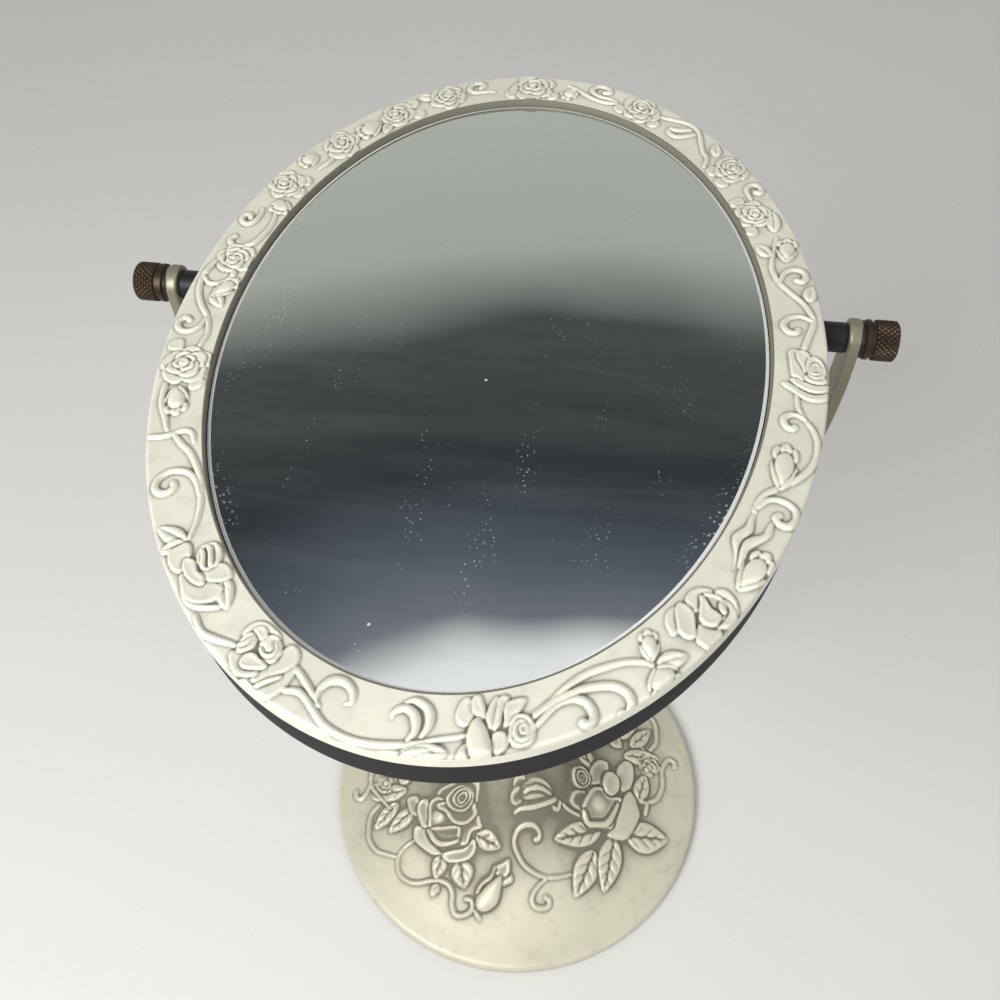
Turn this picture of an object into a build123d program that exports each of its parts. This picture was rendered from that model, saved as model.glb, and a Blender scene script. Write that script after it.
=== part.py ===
"""Table vanity mirror: an oval mirror that tilts between the arms of a yoke on a round flared foot.

Sizes are in millimetres. +Z is up, +X is the viewer's right and +Y points away from the viewer.
The part stands on z = 0 with the foot's centre at the origin, and is drawn with the mirror tilted
flat, its glass upwards and its lower end towards the viewer.
"""
import os
from math import cos, radians, sin

from build123d import *

# Mirror head: an oval bezel over a dark back shell
head_half_width = 71.7
head_half_length = 100.0
pivot_offset = 13.9
border_width = 11.9
bezel_thickness = 4.2
bezel_outer_round = 1.7
bezel_inner_round = 0.4
cup_wall = 2.0
ledge_width = 4.0
ledge_thickness = 1.5

# Glass and what stands behind it
glass_thickness = 2.0
glass_recess = 2.5
glass_gap = 0.25
glass_bevel_width = 1.4
glass_bevel_depth = 0.5
board_thickness = 1.2

# Back shell and its screws
shell_height = 9.6
shell_inset = 0.6
shell_wall = 2.0
shell_floor = 1.6
shell_round = 1.5
screw_count = 6
screw_first_angle = 30.0
screw_inset = 5.4
screw_boss_radius = 2.9
screw_radius = 1.0
screw_head_radius = 1.9
screw_head_height = 1.0
screw_sink = 1.2
screw_bite = 2.0
screw_slot_width = 0.6
screw_slot_depth = 0.5

# Pivot hardware, stacked outwards along the pivot axis
pivot_height = 286.0
pivot_pad_stand = 0.4
pivot_boss_radius = 3.7
insert_radius = 2.4
insert_length = 8.0
insert_flange_radius = 3.0
insert_flange_length = 0.8
stud_radius = 1.5
stud_reach = 6.6
spacer_length = 5.5
spacer_radius = 3.4
washer_thickness = 0.9
washer_radius = 4.2
knob_length = 7.2
knob_radius = 4.6
knob_chamfer = 0.6
knob_groove_depth = 0.5
knob_groove_width = 0.8
stud_seat = 5.0

# Yoke: a flat bar bent to a deep U
yoke_thickness = 2.8
yoke_arm_width = 9.0
yoke_base_width = 13.0
yoke_straight = 6.0
swing_clearance = 11.0
hub_radius = 8.0
hub_height = 4.0
nut_seat_radius = 6.4
nut_seat_height = 0.8

# Stem
upper_collar_radius = 10.0
upper_collar_height = 6.0
lower_collar_radius = 13.2
lower_collar_height = 5.0
collar_round = 2.2
column_foot_radius = 10.0
column_head_radius = 7.6
column_waist_radius = 5.8
column_knop_radius = 9.6

# Foot
foot_radius = 79.0
foot_height = 60.0
foot_neck_radius = 12.0
foot_rim_height = 4.0
foot_rim_round = 1.4
foot_rim_wall = 4.0
foot_wall = 3.0
foot_boss_radius = 24.0
felt_thickness = 1.2
felt_inset = 1.6
weight_margin = 18.0
weight_thickness = 4.0

# Cast ornament on the foot: how far each kind stands up
rose_relief = 2.4
bud_relief = 1.9
leaf_relief = 1.3

# Tie rod that pulls foot, stem and yoke together
rod_radius = 2.5
rod_tail = 1.0
nut_pocket_radius = 8.5
nut_pocket_depth = 8.0
tie_washer_radius = 7.0
tie_washer_thickness = 1.0
hex_nut_flats = 8.0
hex_nut_height = 4.0
cap_nut_radius = 5.2
cap_nut_skirt = 2.6
cap_nut_height = 5.6
cap_nut_round = 2.2
cap_nut_cover = 1.4

# Fits
running_clearance = 0.06
thread_clearance = 0.03
part_clearance = 0.25
rod_clearance = 0.2
overrun = 5.0

# Outlines as shares of the sizes that they follow
flare_shares = [
    (1.0, 0.0),
    (0.844, 0.043),
    (0.672, 0.104),
    (0.5, 0.193),
    (0.344, 0.309),
    (0.219, 0.461),
    (0.109, 0.675),
    (0.039, 0.854),
    (0.0, 1.0),
]
waist_low_share = 0.30
knop_share = 0.52
waist_high_share = 0.74
pivot_level_share = 0.58

# Ornament of the foot's front half as shares of its radius; the back half repeats it, turned round.
# A rose has a middle, a heart towards which its tiers of petals climb, and a radius
rose_shares = [
    ((-0.33, -0.39), (-0.25, -0.27), 0.155),
    ((0.50, -0.12), (0.38, -0.06), 0.165),
]
rose_tier_shares = [(1.0, 0.55), (0.72, 0.78), (0.42, 1.0)]
# A leaf or bud has a base, a tip and a half width
leaf_shares = [
    ((-0.52, -0.28), (-0.65, -0.41), 0.043),
    ((-0.62, -0.25), (-0.73, -0.39), 0.041),
    ((-0.58, -0.18), (-0.78, -0.22), 0.046),
    ((-0.32, -0.50), (-0.35, -0.62), 0.041),
    ((-0.22, -0.52), (-0.19, -0.65), 0.058),
    ((-0.16, -0.40), (-0.02, -0.46), 0.044),
    ((0.49, -0.27), (0.25, -0.37), 0.059),
    ((0.47, -0.37), (0.39, -0.61), 0.062),
    ((0.56, -0.28), (0.54, -0.56), 0.063),
    ((0.63, -0.26), (0.86, -0.23), 0.081),
    ((0.68, -0.06), (0.71, 0.10), 0.043),
]
bud_shares = [
    ((-0.11, -0.73), (0.01, -0.54), 0.050),
    ((0.22, -0.20), (0.03, -0.29), 0.043),
]

# Levels of the head, from the pivot axis inside the shell
shell_bottom = pivot_height - pivot_level_share * shell_height
shell_top = shell_bottom + shell_height
bezel_top = shell_top + bezel_thickness
glass_top = bezel_top - glass_recess
glass_bottom = glass_top - glass_thickness
ledge_bottom = glass_bottom - ledge_thickness
shell_inside = shell_bottom + shell_floor
board_bottom = glass_bottom - board_thickness
cup_inset = border_width - cup_wall
ledge_inset = border_width + ledge_width
glass_inset = border_width + glass_gap

# Places along the pivot axis
pad_x = head_half_width + pivot_pad_stand
insert_inner_x = pad_x - insert_length
yoke_inner_x = pad_x + spacer_length
yoke_outer_x = yoke_inner_x + yoke_thickness
washer_outer_x = yoke_outer_x + washer_thickness
knob_outer_x = washer_outer_x + knob_length
stud_inner_x = pad_x - stud_reach
stud_outer_x = washer_outer_x + stud_seat
insert_flange_x = pad_x - insert_flange_length

# Levels of the stand
yoke_drop = head_half_length + pivot_offset + swing_clearance
yoke_floor = pivot_height - yoke_drop
yoke_bottom = yoke_floor - yoke_thickness
nut_seat = yoke_floor + nut_seat_height
hub_bottom = yoke_bottom - hub_height
column_top = hub_bottom - upper_collar_height
foot_top = felt_thickness + foot_height
rim_top = felt_thickness + foot_rim_height
column_bottom = foot_top + lower_collar_height
pocket_top = felt_thickness + nut_pocket_depth
tie_nut_top = pocket_top - tie_washer_thickness
rod_bottom = tie_nut_top - hex_nut_height - rod_tail
rod_top = nut_seat + cap_nut_height - cap_nut_cover
rod_bore_radius = rod_radius + rod_clearance
weight_radius = foot_radius - weight_margin

SIDES = {"left": -1, "right": 1}


def upright(radius, low, high):
    """Round bar on the foot's axis from one level to another."""
    return Pos(0, 0, (low + high) / 2) * Cylinder(radius, high - low)


def oval_plate(inset, low, high):
    """Oval plate of the head, drawn in from the head's outline by inset."""
    outline = Ellipse(head_half_width - inset, head_half_length - inset)
    return Pos(0, -pivot_offset, low) * extrude(outline, high - low)


def pivot_bar(side, radius, inner_x, outer_x):
    """Round bar along the pivot axis, on the left (-1) or right (+1)."""
    middle = side * (inner_x + outer_x) / 2
    return Pos(middle, 0, pivot_height) * Rot(0, 90, 0) * Cylinder(radius, outer_x - inner_x)


def turned(outline, top_radius, low, high):
    """Solid turned about the foot's axis under an outline that ends at top_radius."""
    edges = [
        outline,
        Line((top_radius, 0, high), (0, 0, high)),
        Line((0, 0, high), (0, 0, low)),
        Line((0, 0, low), outline @ 0),
    ]
    return revolve(make_face(edges), Axis.Z)


def screw_places():
    """Centres of the back screws, spread round the border."""
    places = []
    for number in range(screw_count):
        angle = radians(screw_first_angle + 360 * number / screw_count)
        x = (head_half_width - screw_inset) * cos(angle)
        y = (head_half_length - screw_inset) * sin(angle) - pivot_offset
        places.append((x, y))
    return places


def screw_bars(radius, low, high):
    """Round bars at all the back screws' places."""
    bar = Pos(0, 0, (low + high) / 2) * Cylinder(radius, high - low)
    return [Pos(x, y, 0) * bar for x, y in screw_places()]


def top_edges(solid, level):
    """Edges of a solid that lie wholly at one level."""
    return solid.edges().filter_by(Plane.XY).filter_by_position(Axis.Z, level, level)


def make_front_bezel():
    """Cast border ring with a cup and a ledge that the glass sits in."""
    ring = oval_plate(0, shell_top, bezel_top)
    cup = oval_plate(cup_inset, ledge_bottom, shell_top)
    recess = oval_plate(border_width, glass_bottom, bezel_top + overrun)
    opening = oval_plate(ledge_inset, ledge_bottom - overrun, bezel_top + overrun)
    bezel = ring + cup - recess - opening
    outer_edge = top_edges(bezel, bezel_top).sort_by(SortBy.LENGTH)[-1]
    bezel = fillet(outer_edge, bezel_outer_round)
    inner_edge = top_edges(bezel, bezel_top).sort_by(SortBy.LENGTH)[0]
    bezel = fillet(inner_edge, bezel_inner_round)
    holes = screw_bars(screw_radius + thread_clearance, shell_top - overrun, shell_top + screw_bite)
    return bezel - holes


def make_mirror_glass():
    """Silvered glass with a narrow bevel round its front edge."""
    glass = oval_plate(glass_inset, glass_bottom, glass_top)
    edge = top_edges(glass, glass_top)
    face = glass.faces().sort_by(Axis.Z)[-1]
    return chamfer(edge, glass_bevel_width, glass_bevel_depth, reference=face)


def make_backing_board():
    """Stiff board behind the silvering, inside the ledge."""
    return oval_plate(ledge_inset + part_clearance, board_bottom, glass_bottom)


def make_foam_pad():
    """Foam that fills the shell behind the board."""
    return oval_plate(ledge_inset + part_clearance, shell_inside, board_bottom)


def make_back_shell():
    """Dark tray that closes the back, with screw bosses and two pivot bosses."""
    tray = oval_plate(shell_inset, shell_bottom, shell_top)
    tray = fillet(top_edges(tray, shell_bottom), shell_round)
    hollow = oval_plate(shell_inset + shell_wall, shell_inside, shell_top + overrun)
    tray = tray - hollow
    bosses = screw_bars(screw_boss_radius, shell_bottom + shell_floor / 2, shell_top)
    tray = tray + [boss & oval_plate(shell_inset, shell_bottom, shell_top) for boss in bosses]
    for side in SIDES.values():
        tray = tray + pivot_bar(side, pivot_boss_radius, insert_inner_x, pad_x)
    for side in SIDES.values():
        tray = tray - pivot_bar(side, insert_radius + thread_clearance, insert_inner_x - overrun, pad_x)
        tray = tray - pivot_bar(side, insert_flange_radius + thread_clearance, insert_flange_x, pad_x)
    tray = tray - oval_plate(cup_inset - part_clearance, ledge_bottom - part_clearance, shell_top + overrun)
    tray = tray - screw_bars(screw_radius + part_clearance, shell_bottom - overrun, shell_top + overrun)
    sink_top = shell_bottom + screw_sink
    return tray - screw_bars(screw_head_radius + part_clearance, shell_bottom - overrun, sink_top)


def make_back_screws():
    """Slotted screws that hold the shell to the bezel, heads sunk in the back."""
    head_top = shell_bottom + screw_sink
    head_bottom = head_top - screw_head_height
    shanks = screw_bars(screw_radius, head_top, shell_top + screw_bite)
    heads = screw_bars(screw_head_radius, head_bottom, head_top)
    slot = Box(screw_slot_width, 2 * screw_head_radius + overrun, 2 * screw_slot_depth)
    screws = []
    for shank, head, (x, y) in zip(shanks, heads, screw_places()):
        screws.append(shank + head - Pos(x, y, head_bottom) * slot)
    return Compound(children=[screw.solid() for screw in screws])


def make_pivot_insert(side):
    """Flanged threaded bush in the shell's side."""
    bush = pivot_bar(side, insert_radius, insert_inner_x, pad_x)
    bush = bush + pivot_bar(side, insert_flange_radius, insert_flange_x, pad_x)
    return bush - pivot_bar(side, stud_radius + running_clearance, insert_inner_x - overrun, pad_x + overrun)


def make_spacer(side):
    """Black sleeve that holds the head clear of the yoke."""
    sleeve = pivot_bar(side, spacer_radius, pad_x, yoke_inner_x)
    return sleeve - pivot_bar(side, stud_radius + running_clearance, pad_x - overrun, yoke_inner_x + overrun)


def make_friction_washer(side):
    """Black washer between the yoke's arm and the knob."""
    disc = pivot_bar(side, washer_radius, yoke_outer_x, washer_outer_x)
    return disc - pivot_bar(side, stud_radius + thread_clearance, yoke_outer_x - overrun, washer_outer_x + overrun)


def make_knob_grip(side):
    """Round thumb knob with chamfered ends, a groove near its root and a blind hole for the stud."""
    grip = pivot_bar(side, knob_radius, washer_outer_x, knob_outer_x)
    grip = chamfer(grip.edges().filter_by(GeomType.CIRCLE), knob_chamfer)
    groove_x = washer_outer_x + 2 * knob_chamfer
    groove = pivot_bar(side, knob_radius + overrun, groove_x, groove_x + knob_groove_width)
    groove = groove - pivot_bar(side, knob_radius - knob_groove_depth, groove_x - overrun, groove_x + overrun)
    return grip - groove - pivot_bar(side, stud_radius + thread_clearance, washer_outer_x - overrun, stud_outer_x)


def make_knob_stud(side):
    """Stud fixed in the knob, which clamps the arm against the spacer."""
    return pivot_bar(side, stud_radius, stud_inner_x, stud_outer_x)


def make_yoke():
    """Flat bar bent to a U, with round ends at the pivots and a hub under its middle."""
    arm_root = pivot_height - yoke_straight
    arm_top = pivot_height + yoke_arm_width / 2
    bend_drop = yoke_drop - yoke_straight
    arm_height = arm_top - arm_root
    arm_middle = arm_root + arm_height / 2
    tall = arm_height + 2 * yoke_drop
    outside = Pos(0, arm_root) * Ellipse(yoke_outer_x, bend_drop + yoke_thickness)
    outside = outside & Pos(0, arm_root - tall / 2) * Rectangle(2 * yoke_outer_x, tall)
    outside = outside + Pos(0, arm_middle) * Rectangle(2 * yoke_outer_x, arm_height)
    inside = Pos(0, arm_root) * Ellipse(yoke_inner_x, bend_drop)
    inside = inside + Pos(0, arm_root + tall / 2) * Rectangle(2 * yoke_inner_x, tall)
    bar = extrude(Plane.XZ * (outside - inside), yoke_base_width, both=True)
    half_arm = yoke_arm_width / 2
    half_base = yoke_base_width / 2
    taper = make_face(Polyline(
        (-half_base, yoke_bottom - overrun),
        (half_base, yoke_bottom - overrun),
        (half_base, yoke_floor),
        (half_arm, pivot_height),
        (-half_arm, pivot_height),
        (-half_base, yoke_floor),
        close=True,
    ))
    taper = taper + Pos(0, pivot_height) * Circle(half_arm)
    bar = bar & extrude(Plane.YZ * taper, yoke_outer_x + overrun, both=True)
    bar = bar + upright(hub_radius, hub_bottom, yoke_bottom + yoke_thickness / 2)
    bar = bar + upright(nut_seat_radius, yoke_bottom + yoke_thickness / 2, nut_seat)
    bar = bar - upright(rod_bore_radius, hub_bottom - overrun, nut_seat + overrun)
    for side in SIDES.values():
        bar = bar - pivot_bar(side, stud_radius + running_clearance, yoke_inner_x - overrun, yoke_outer_x + overrun)
    return bar


def make_collar(radius, low, high):
    """Rounded ring on the stem."""
    ring = upright(radius, low, high)
    ring = fillet(ring.edges().filter_by(GeomType.CIRCLE), collar_round)
    return ring - upright(rod_bore_radius, low - overrun, high + overrun)


def make_stem_column():
    """Turned column with a knop between two waists."""
    length = column_top - column_bottom
    outline = Spline(
        (column_foot_radius, 0, column_bottom),
        (column_waist_radius, 0, column_bottom + waist_low_share * length),
        (column_knop_radius, 0, column_bottom + knop_share * length),
        (column_waist_radius, 0, column_bottom + waist_high_share * length),
        (column_head_radius, 0, column_top),
    )
    column = turned(outline, column_head_radius, column_bottom, column_top)
    return column - upright(rod_bore_radius, column_bottom - overrun, column_top + overrun)


def flare_outline():
    """Curve of the foot's top, from the rim up to the neck."""
    reach = foot_radius - foot_neck_radius
    rise = foot_top - rim_top
    points = [(foot_neck_radius + out * reach, 0, rim_top + up * rise) for out, up in flare_shares]
    return Spline(*points)


def blade(base, tip, half_width):
    """Leaf-shaped face between two arcs, from shares of the foot's radius."""
    base = foot_radius * Vector(*base)
    tip = foot_radius * Vector(*tip)
    middle = (base + tip) / 2
    out = (tip - base).normalized().rotate(Axis.Z, 90) * half_width * foot_radius
    return make_face([ThreePointArc(base, middle + out, tip), ThreePointArc(tip, middle - out, base)])


def rose_tiers(size, climb):
    """Discs of one tier of all the roses, size of the whole and climb of the way to the heart."""
    discs = []
    for middle, heart, radius in rose_shares:
        place = foot_radius * (Vector(*middle) * (1 - climb) + Vector(*heart) * climb)
        discs.append(Pos(place) * Circle(size * radius * foot_radius))
    return discs


def raised(flare, faces, relief):
    """Pads of some outlines, front and back, that stand over the foot's flare by relief."""
    front = Sketch() + faces
    both = front + Rot(0, 0, 180) * front
    lifted = Pos(0, 0, relief) * flare + upright(foot_radius, rim_top, rim_top + relief)
    return Pos(0, 0, rim_top) * extrude(both, foot_height) & lifted


def make_foot_casting():
    """Flared foot with cast roses, leaves and buds, hollow under its outer part, with a core for the tie rod."""
    flare = turned(flare_outline(), foot_neck_radius, rim_top, foot_top)
    foot = flare + upright(foot_radius, felt_thickness, rim_top)
    rim_edge = foot.edges().filter_by(GeomType.CIRCLE).filter_by_position(Axis.Z, rim_top, rim_top)
    foot = fillet(rim_edge, foot_rim_round)
    foot = foot + raised(flare, [blade(*leaf) for leaf in leaf_shares], leaf_relief)
    foot = foot + raised(flare, [blade(*bud) for bud in bud_shares], bud_relief)
    for size, rise in rose_tier_shares:
        foot = foot + raised(flare, rose_tiers(size, 1 - size), rise * rose_relief)
    hollow = flare + upright(foot_radius, felt_thickness - overrun, rim_top)
    hollow = Pos(0, 0, -foot_wall) * hollow
    hollow = hollow & upright(foot_radius - foot_rim_wall, felt_thickness - overrun, foot_top)
    hollow = hollow - upright(foot_boss_radius, felt_thickness - 2 * overrun, foot_top + overrun)
    foot = foot - hollow
    foot = foot - upright(nut_pocket_radius, felt_thickness - overrun, pocket_top)
    return foot - upright(rod_bore_radius, felt_thickness - overrun, foot_top + overrun)


def make_foot_weight():
    """Steel ring that rests on the felt inside the foot."""
    ring = upright(weight_radius, felt_thickness, felt_thickness + weight_thickness)
    hole_radius = foot_boss_radius + part_clearance
    return ring - upright(hole_radius, felt_thickness - overrun, felt_thickness + weight_thickness + overrun)


def make_felt_pad():
    """Felt disc under the foot."""
    return upright(foot_radius - felt_inset, 0, felt_thickness)


def make_tie_rod():
    """Threaded rod from the foot's nut to the cap nut in the yoke."""
    return upright(rod_radius, rod_bottom, rod_top)


def make_tie_washer():
    """Washer under the core of the foot."""
    disc = upright(tie_washer_radius, tie_nut_top, pocket_top)
    return disc - upright(rod_bore_radius, tie_nut_top - overrun, pocket_top + overrun)


def make_tie_nut():
    """Hexagon nut under the foot."""
    prism = extrude(RegularPolygon(hex_nut_flats / 2, 6, major_radius=False), hex_nut_height)
    nut = Pos(0, 0, tie_nut_top - hex_nut_height) * prism
    return nut - upright(rod_radius + thread_clearance, rod_bottom - overrun, tie_nut_top + overrun)


def make_cap_nut():
    """Domed nut inside the yoke, closed over the rod's end."""
    nut = upright(cap_nut_radius, nut_seat, nut_seat + cap_nut_skirt)
    dome = upright(cap_nut_radius - cap_nut_skirt / 2, nut_seat, nut_seat + cap_nut_height)
    crown = dome.edges().filter_by(GeomType.CIRCLE).sort_by(Axis.Z)[-1]
    nut = nut + fillet(crown, cap_nut_round)
    return nut - upright(rod_radius + thread_clearance, nut_seat - overrun, rod_top)


def write(name, shape):
    """Write one node."""
    export_step(shape, "parts/" + name + ".step")


def main():
    """Make every node of the mirror."""
    os.makedirs("parts", exist_ok=True)
    write("foot_casting", make_foot_casting())
    write("foot_weight", make_foot_weight())
    write("felt_pad", make_felt_pad())
    write("lower_collar", make_collar(lower_collar_radius, foot_top, column_bottom))
    write("stem_column", make_stem_column())
    write("upper_collar", make_collar(upper_collar_radius, column_top, hub_bottom))
    write("yoke", make_yoke())
    write("tie_rod", make_tie_rod())
    write("tie_washer", make_tie_washer())
    write("tie_nut", make_tie_nut())
    write("cap_nut", make_cap_nut())
    write("front_bezel", make_front_bezel())
    write("mirror_glass", make_mirror_glass())
    write("backing_board", make_backing_board())
    write("foam_pad", make_foam_pad())
    write("back_shell", make_back_shell())
    write("back_screws", make_back_screws())
    for name, side in SIDES.items():
        write(name + "_pivot_insert", make_pivot_insert(side))
        write(name + "_spacer", make_spacer(side))
        write(name + "_friction_washer", make_friction_washer(side))
        write(name + "_knob_grip", make_knob_grip(side))
        write(name + "_knob_stud", make_knob_stud(side))


main()
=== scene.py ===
"""Looks of the oval table mirror: cast border and foot, glass, yoke, stem, knobs, finishes and stage."""
import math

import bmesh
import bpy
import numpy as np
from bpy.props import FloatProperty, FloatVectorProperty, IntProperty, PointerProperty
from mathutils import Matrix, Vector


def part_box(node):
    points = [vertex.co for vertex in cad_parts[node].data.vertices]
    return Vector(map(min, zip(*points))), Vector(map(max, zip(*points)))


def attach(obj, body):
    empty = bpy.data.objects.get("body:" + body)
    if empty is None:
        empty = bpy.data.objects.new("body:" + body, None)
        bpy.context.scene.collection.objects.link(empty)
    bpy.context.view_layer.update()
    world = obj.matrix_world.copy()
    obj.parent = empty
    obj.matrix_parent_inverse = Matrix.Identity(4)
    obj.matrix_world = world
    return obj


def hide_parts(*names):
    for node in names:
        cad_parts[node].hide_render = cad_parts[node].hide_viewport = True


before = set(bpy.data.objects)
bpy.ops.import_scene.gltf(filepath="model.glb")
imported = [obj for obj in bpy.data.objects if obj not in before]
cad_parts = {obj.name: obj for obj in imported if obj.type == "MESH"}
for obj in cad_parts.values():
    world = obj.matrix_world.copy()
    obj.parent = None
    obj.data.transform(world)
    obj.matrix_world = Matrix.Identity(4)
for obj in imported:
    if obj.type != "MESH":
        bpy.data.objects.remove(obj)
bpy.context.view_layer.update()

bl_info = {
    "name": "Oval Table Mirror",
    "version": (1, 0, 0),
    "blender": (4, 5, 0),
    "location": "3D View > Sidebar > Table Mirror",
    "description": "Builds the cast, turned and glass pieces of an oval table mirror on its packed frame",
    "category": "Add Mesh",
}

MM = 0.001
TINY = 1e-6
# Radius of the hole that the tie rod runs in
ROD_BORE = 2.7 * MM
STEEL = (0.55, 0.55, 0.56)

# Ornament of the border, in millimetres on its unrolled face:
# along the middle of the border from the near end, and out from that middle line
BORDER_STEMS = (
    ((21, -1.4), (24, -2.4), (28, -4.0), (32, -4.6), (36, -4.0), (40, -2.7), (43, -0.6), (43.7, 0.6)),
    ((82.5, -2.6), (84, -2.8), (87.5, -2.2), (90, -0.6), (92, 1), (96, 3.6), (100, 5), (104, 4.8),
     (107, 3.6), (109.3, 1.8), (111, 0.6), (113, -0.2), (116, -0.6)),
    ((127, 0), (133, 2), (138, 3.6), (143, 2.4), (147, 0), (151, -2), (156, -2.6), (161, -1), (166, 1.5)),
    ((198, -3.5), (200, -1), (202.5, -0.2), (205, 1.4), (207.5, 3.4), (210, 4.8), (213, 4.8), (216, 3.6),
     (219, 2.2), (222, 1.2)),
    ((233, 0), (236, -1.2), (239, -1.2), (242, -0.2), (245, 1.5), (248, 3)),
    ((318, -1.4), (321.5, -2), (325, -1.6)),
    ((362, 1), (366, 3.2), (371, 4), (376, 3), (380, 1), (384, -1.6), (389, -3), (394, -2)),
    ((404, 3), (409, 3), (413, 2), (417, 1.2)),
    ((418, 4.8), (418.6, 2), (418.5, 0), (418.2, -2.5), (419.5, -4), (422, -4.4)),
    ((419, -0.5), (422, -2), (425, -3.7), (430, -4.9), (436, -4.9), (440, -4.3), (443.5, -2.8),
     (446, -0.8)),
    ((451, 1.5), (454, 2.7), (457.5, 3.6), (460, 2.8), (462, 1), (463.5, -1)),
    ((462, 3.6), (465, 4.2), (468, 3), (470.5, 1.5), (472, 0.8)),
    ((483, -3.6), (486, -2.8), (489, -1.4), (491.5, 0.2)),
    ((484.5, 1), (487, -0.2), (489, 0.2), (491, 1.2), (494, 2.7), (498, 3.4), (502, 3.2), (506, 2.5),
     (510, 1.7), (513, 0.8), (517.5, 0.2)),
)
BORDER_CURLS = (
    ((20.5, 1), (22, 0), (25, -1.7), (28, -1.7), (29.9, -0.3), (30.5, 1.6), (30.2, 3.2), (29, 3.7),
     (28.4, 2.9)),
    ((21, -1), (24, -2.2), (26, -2.6), (30, -2.5), (33.5, -1.5), (36, 0), (37.2, 2), (37, 4), (35.8, 5.2),
     (34.8, 4.7)),
    ((84, -2.6), (87, -1), (88, 1.5), (87.3, 4), (85.3, 5), (83.3, 4.2), (82.8, 2.5), (83.6, 1.4),
     (84.6, 1.8)),
    ((109.5, 1.6), (110.3, 0), (110, -1.6), (108.5, -2.6), (106.8, -2), (106.3, -0.8), (107, -0.2)),
    ((138, 3.4), (139.5, 1), (139, -1.6), (137, -3), (134.8, -2.2), (134.4, -0.6), (135.4, 0.1)),
    ((151, -1.8), (153.5, -0.4), (154.6, 1.6), (153.8, 3.8), (151.8, 4.4), (150.4, 3.2), (151, 2)),
    ((180.5, 0.8), (182, 0.9), (184.4, 1.4), (185.4, 3), (184.6, 4.6), (182.9, 4.9), (181.8, 3.9),
     (182.6, 3)),
    ((209, 3), (210, 0.8), (212, -1.6), (214.5, -1.8), (215.5, -0.6)),
    ((211, 3.5), (212.5, 1.5), (214, 0.3), (215.3, -0.2)),
    ((233.5, 0.5), (235.5, 0.8), (238.6, 0.7), (240.9, 2), (241, 4), (239.4, 5.3), (237.2, 4.9),
     (236.6, 3.4), (237.8, 2.8)),
    ((267.5, -0.5), (270, -0.2), (273, 0.3), (274, 2.2), (273, 4), (271, 4.2), (270, 2.9), (271, 2.1)),
    ((345, 1.6), (347, 0.8), (350, 0.9), (351.7, 2.2), (351, 4), (349.3, 4.4), (348.4, 3.2),
     (349.2, 2.5)),
    ((344, -1), (346, -2.8), (349, -3.6), (353, -3.6), (357, -2.8), (359, -1), (359.6, 1.5), (358, 3.2),
     (356.4, 2.6)),
    ((371, 3.8), (373, 1.6), (372.4, -1), (370.4, -2.6), (368, -2.4), (367, -0.8), (368, 0.2)),
    ((384, -1.4), (387, -0.6), (388.6, 1.4), (388, 3.6), (386, 4.4), (384.4, 3.2), (385.2, 2)),
    ((437, -4.7), (433, -4.4), (430.2, -3.2), (428.7, -1.2), (428.4, 0.9), (429.3, 2.8), (431.1, 3.7),
     (432.8, 2.9), (433.3, 1.3), (432.6, 0), (431.5, 0)),
)
# Crescents that are full in the middle and pointed at the tip
BORDER_HORNS = (
    ((490.5, -0.5), (490.3, -2.6), (491.5, -4.8), (493.8, -5.6), (496, -4.6), (496.6, -2.8), (495.6, -2)),
    ((507.8, 1.5), (508.8, -0.5), (508.3, -3), (506.4, -4.2), (504.6, -3.2), (504.3, -2)),
    ((510, 0.5), (511, -2), (510.4, -4.5), (508, -5.8), (506, -5.2)),
)
# Leaves, buds and single petals: base, tip and half width
BORDER_LEAVES = (
    ((6.4, 3.2), (-1, 3.4), 1.6), ((44.5, 0.8), (50, 3.2), 1.6), ((144, 3.4), (149, 5), 1.5),
    ((160, -2), (165, -4.2), 1.6), ((168, 1.5), (175, 3.8), 1.7), ((199, 1.6), (203, 4.6), 1.5),
    ((283.5, 2), (288, 4.4), 1.6), ((299, -1.4), (302.4, -4.2), 1.5), ((376, -0.4), (380.4, -3.8), 1.6),
    ((446.5, -0.3), (440.5, 4.3), 1.7), ((446.7, 0), (446, 5), 1.5), ((458.6, -4.0), (465, -1.7), 1.9),
    ((512, 3), (506.4, 5.2), 1.3),
)
BORDER_BUDS = (
    ((43.8, 1.4), (43.8, 5.9), 2.4), ((44, -0.5), (46.7, -5), 1.5), ((66.5, 2), (75.5, 3.2), 2.0),
    ((91, 0), (101.5, -1), 2.0), ((158, 1.2), (164.5, 3.6), 1.9), ((245, 0.6), (248.4, -3), 1.6),
    ((301.6, -0.3), (308.6, 0.4), 2.4), ((322, 2), (327, 3.9), 1.9), ((340.2, -2), (345, -2.7), 2.2),
    ((377, -1), (370.6, -4.4), 1.7), ((405.4, 0.2), (413, -0.3), 1.9),
)
BORDER_PETALS = (
    ((178, -1.8), (182.8, -3.6), 1.9), ((172.4, -2.4), (168.8, -4.6), 1.8),
    ((193.8, 0), (195.8, -4), 1.9), ((191.2, 0), (189.4, -4.4), 1.9), ((222.5, 0), (219.2, -2.8), 1.8),
    ((229.5, 0), (232.6, -2.8), 1.8), ((253, -1), (250, -4), 1.8), ((261, -1), (264, -3.6), 1.8),
    ((293, 0.6), (288.8, 3.6), 1.8), ((293, -0.4), (288.8, -3.8), 1.9), ((333.6, -0.2), (329.6, -3), 1.8),
    ((335.4, -0.4), (335.6, -4.8), 1.9), ((394.8, 1), (391.6, 4), 1.8), ((403, -2), (406, -4.6), 1.8),
)
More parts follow.
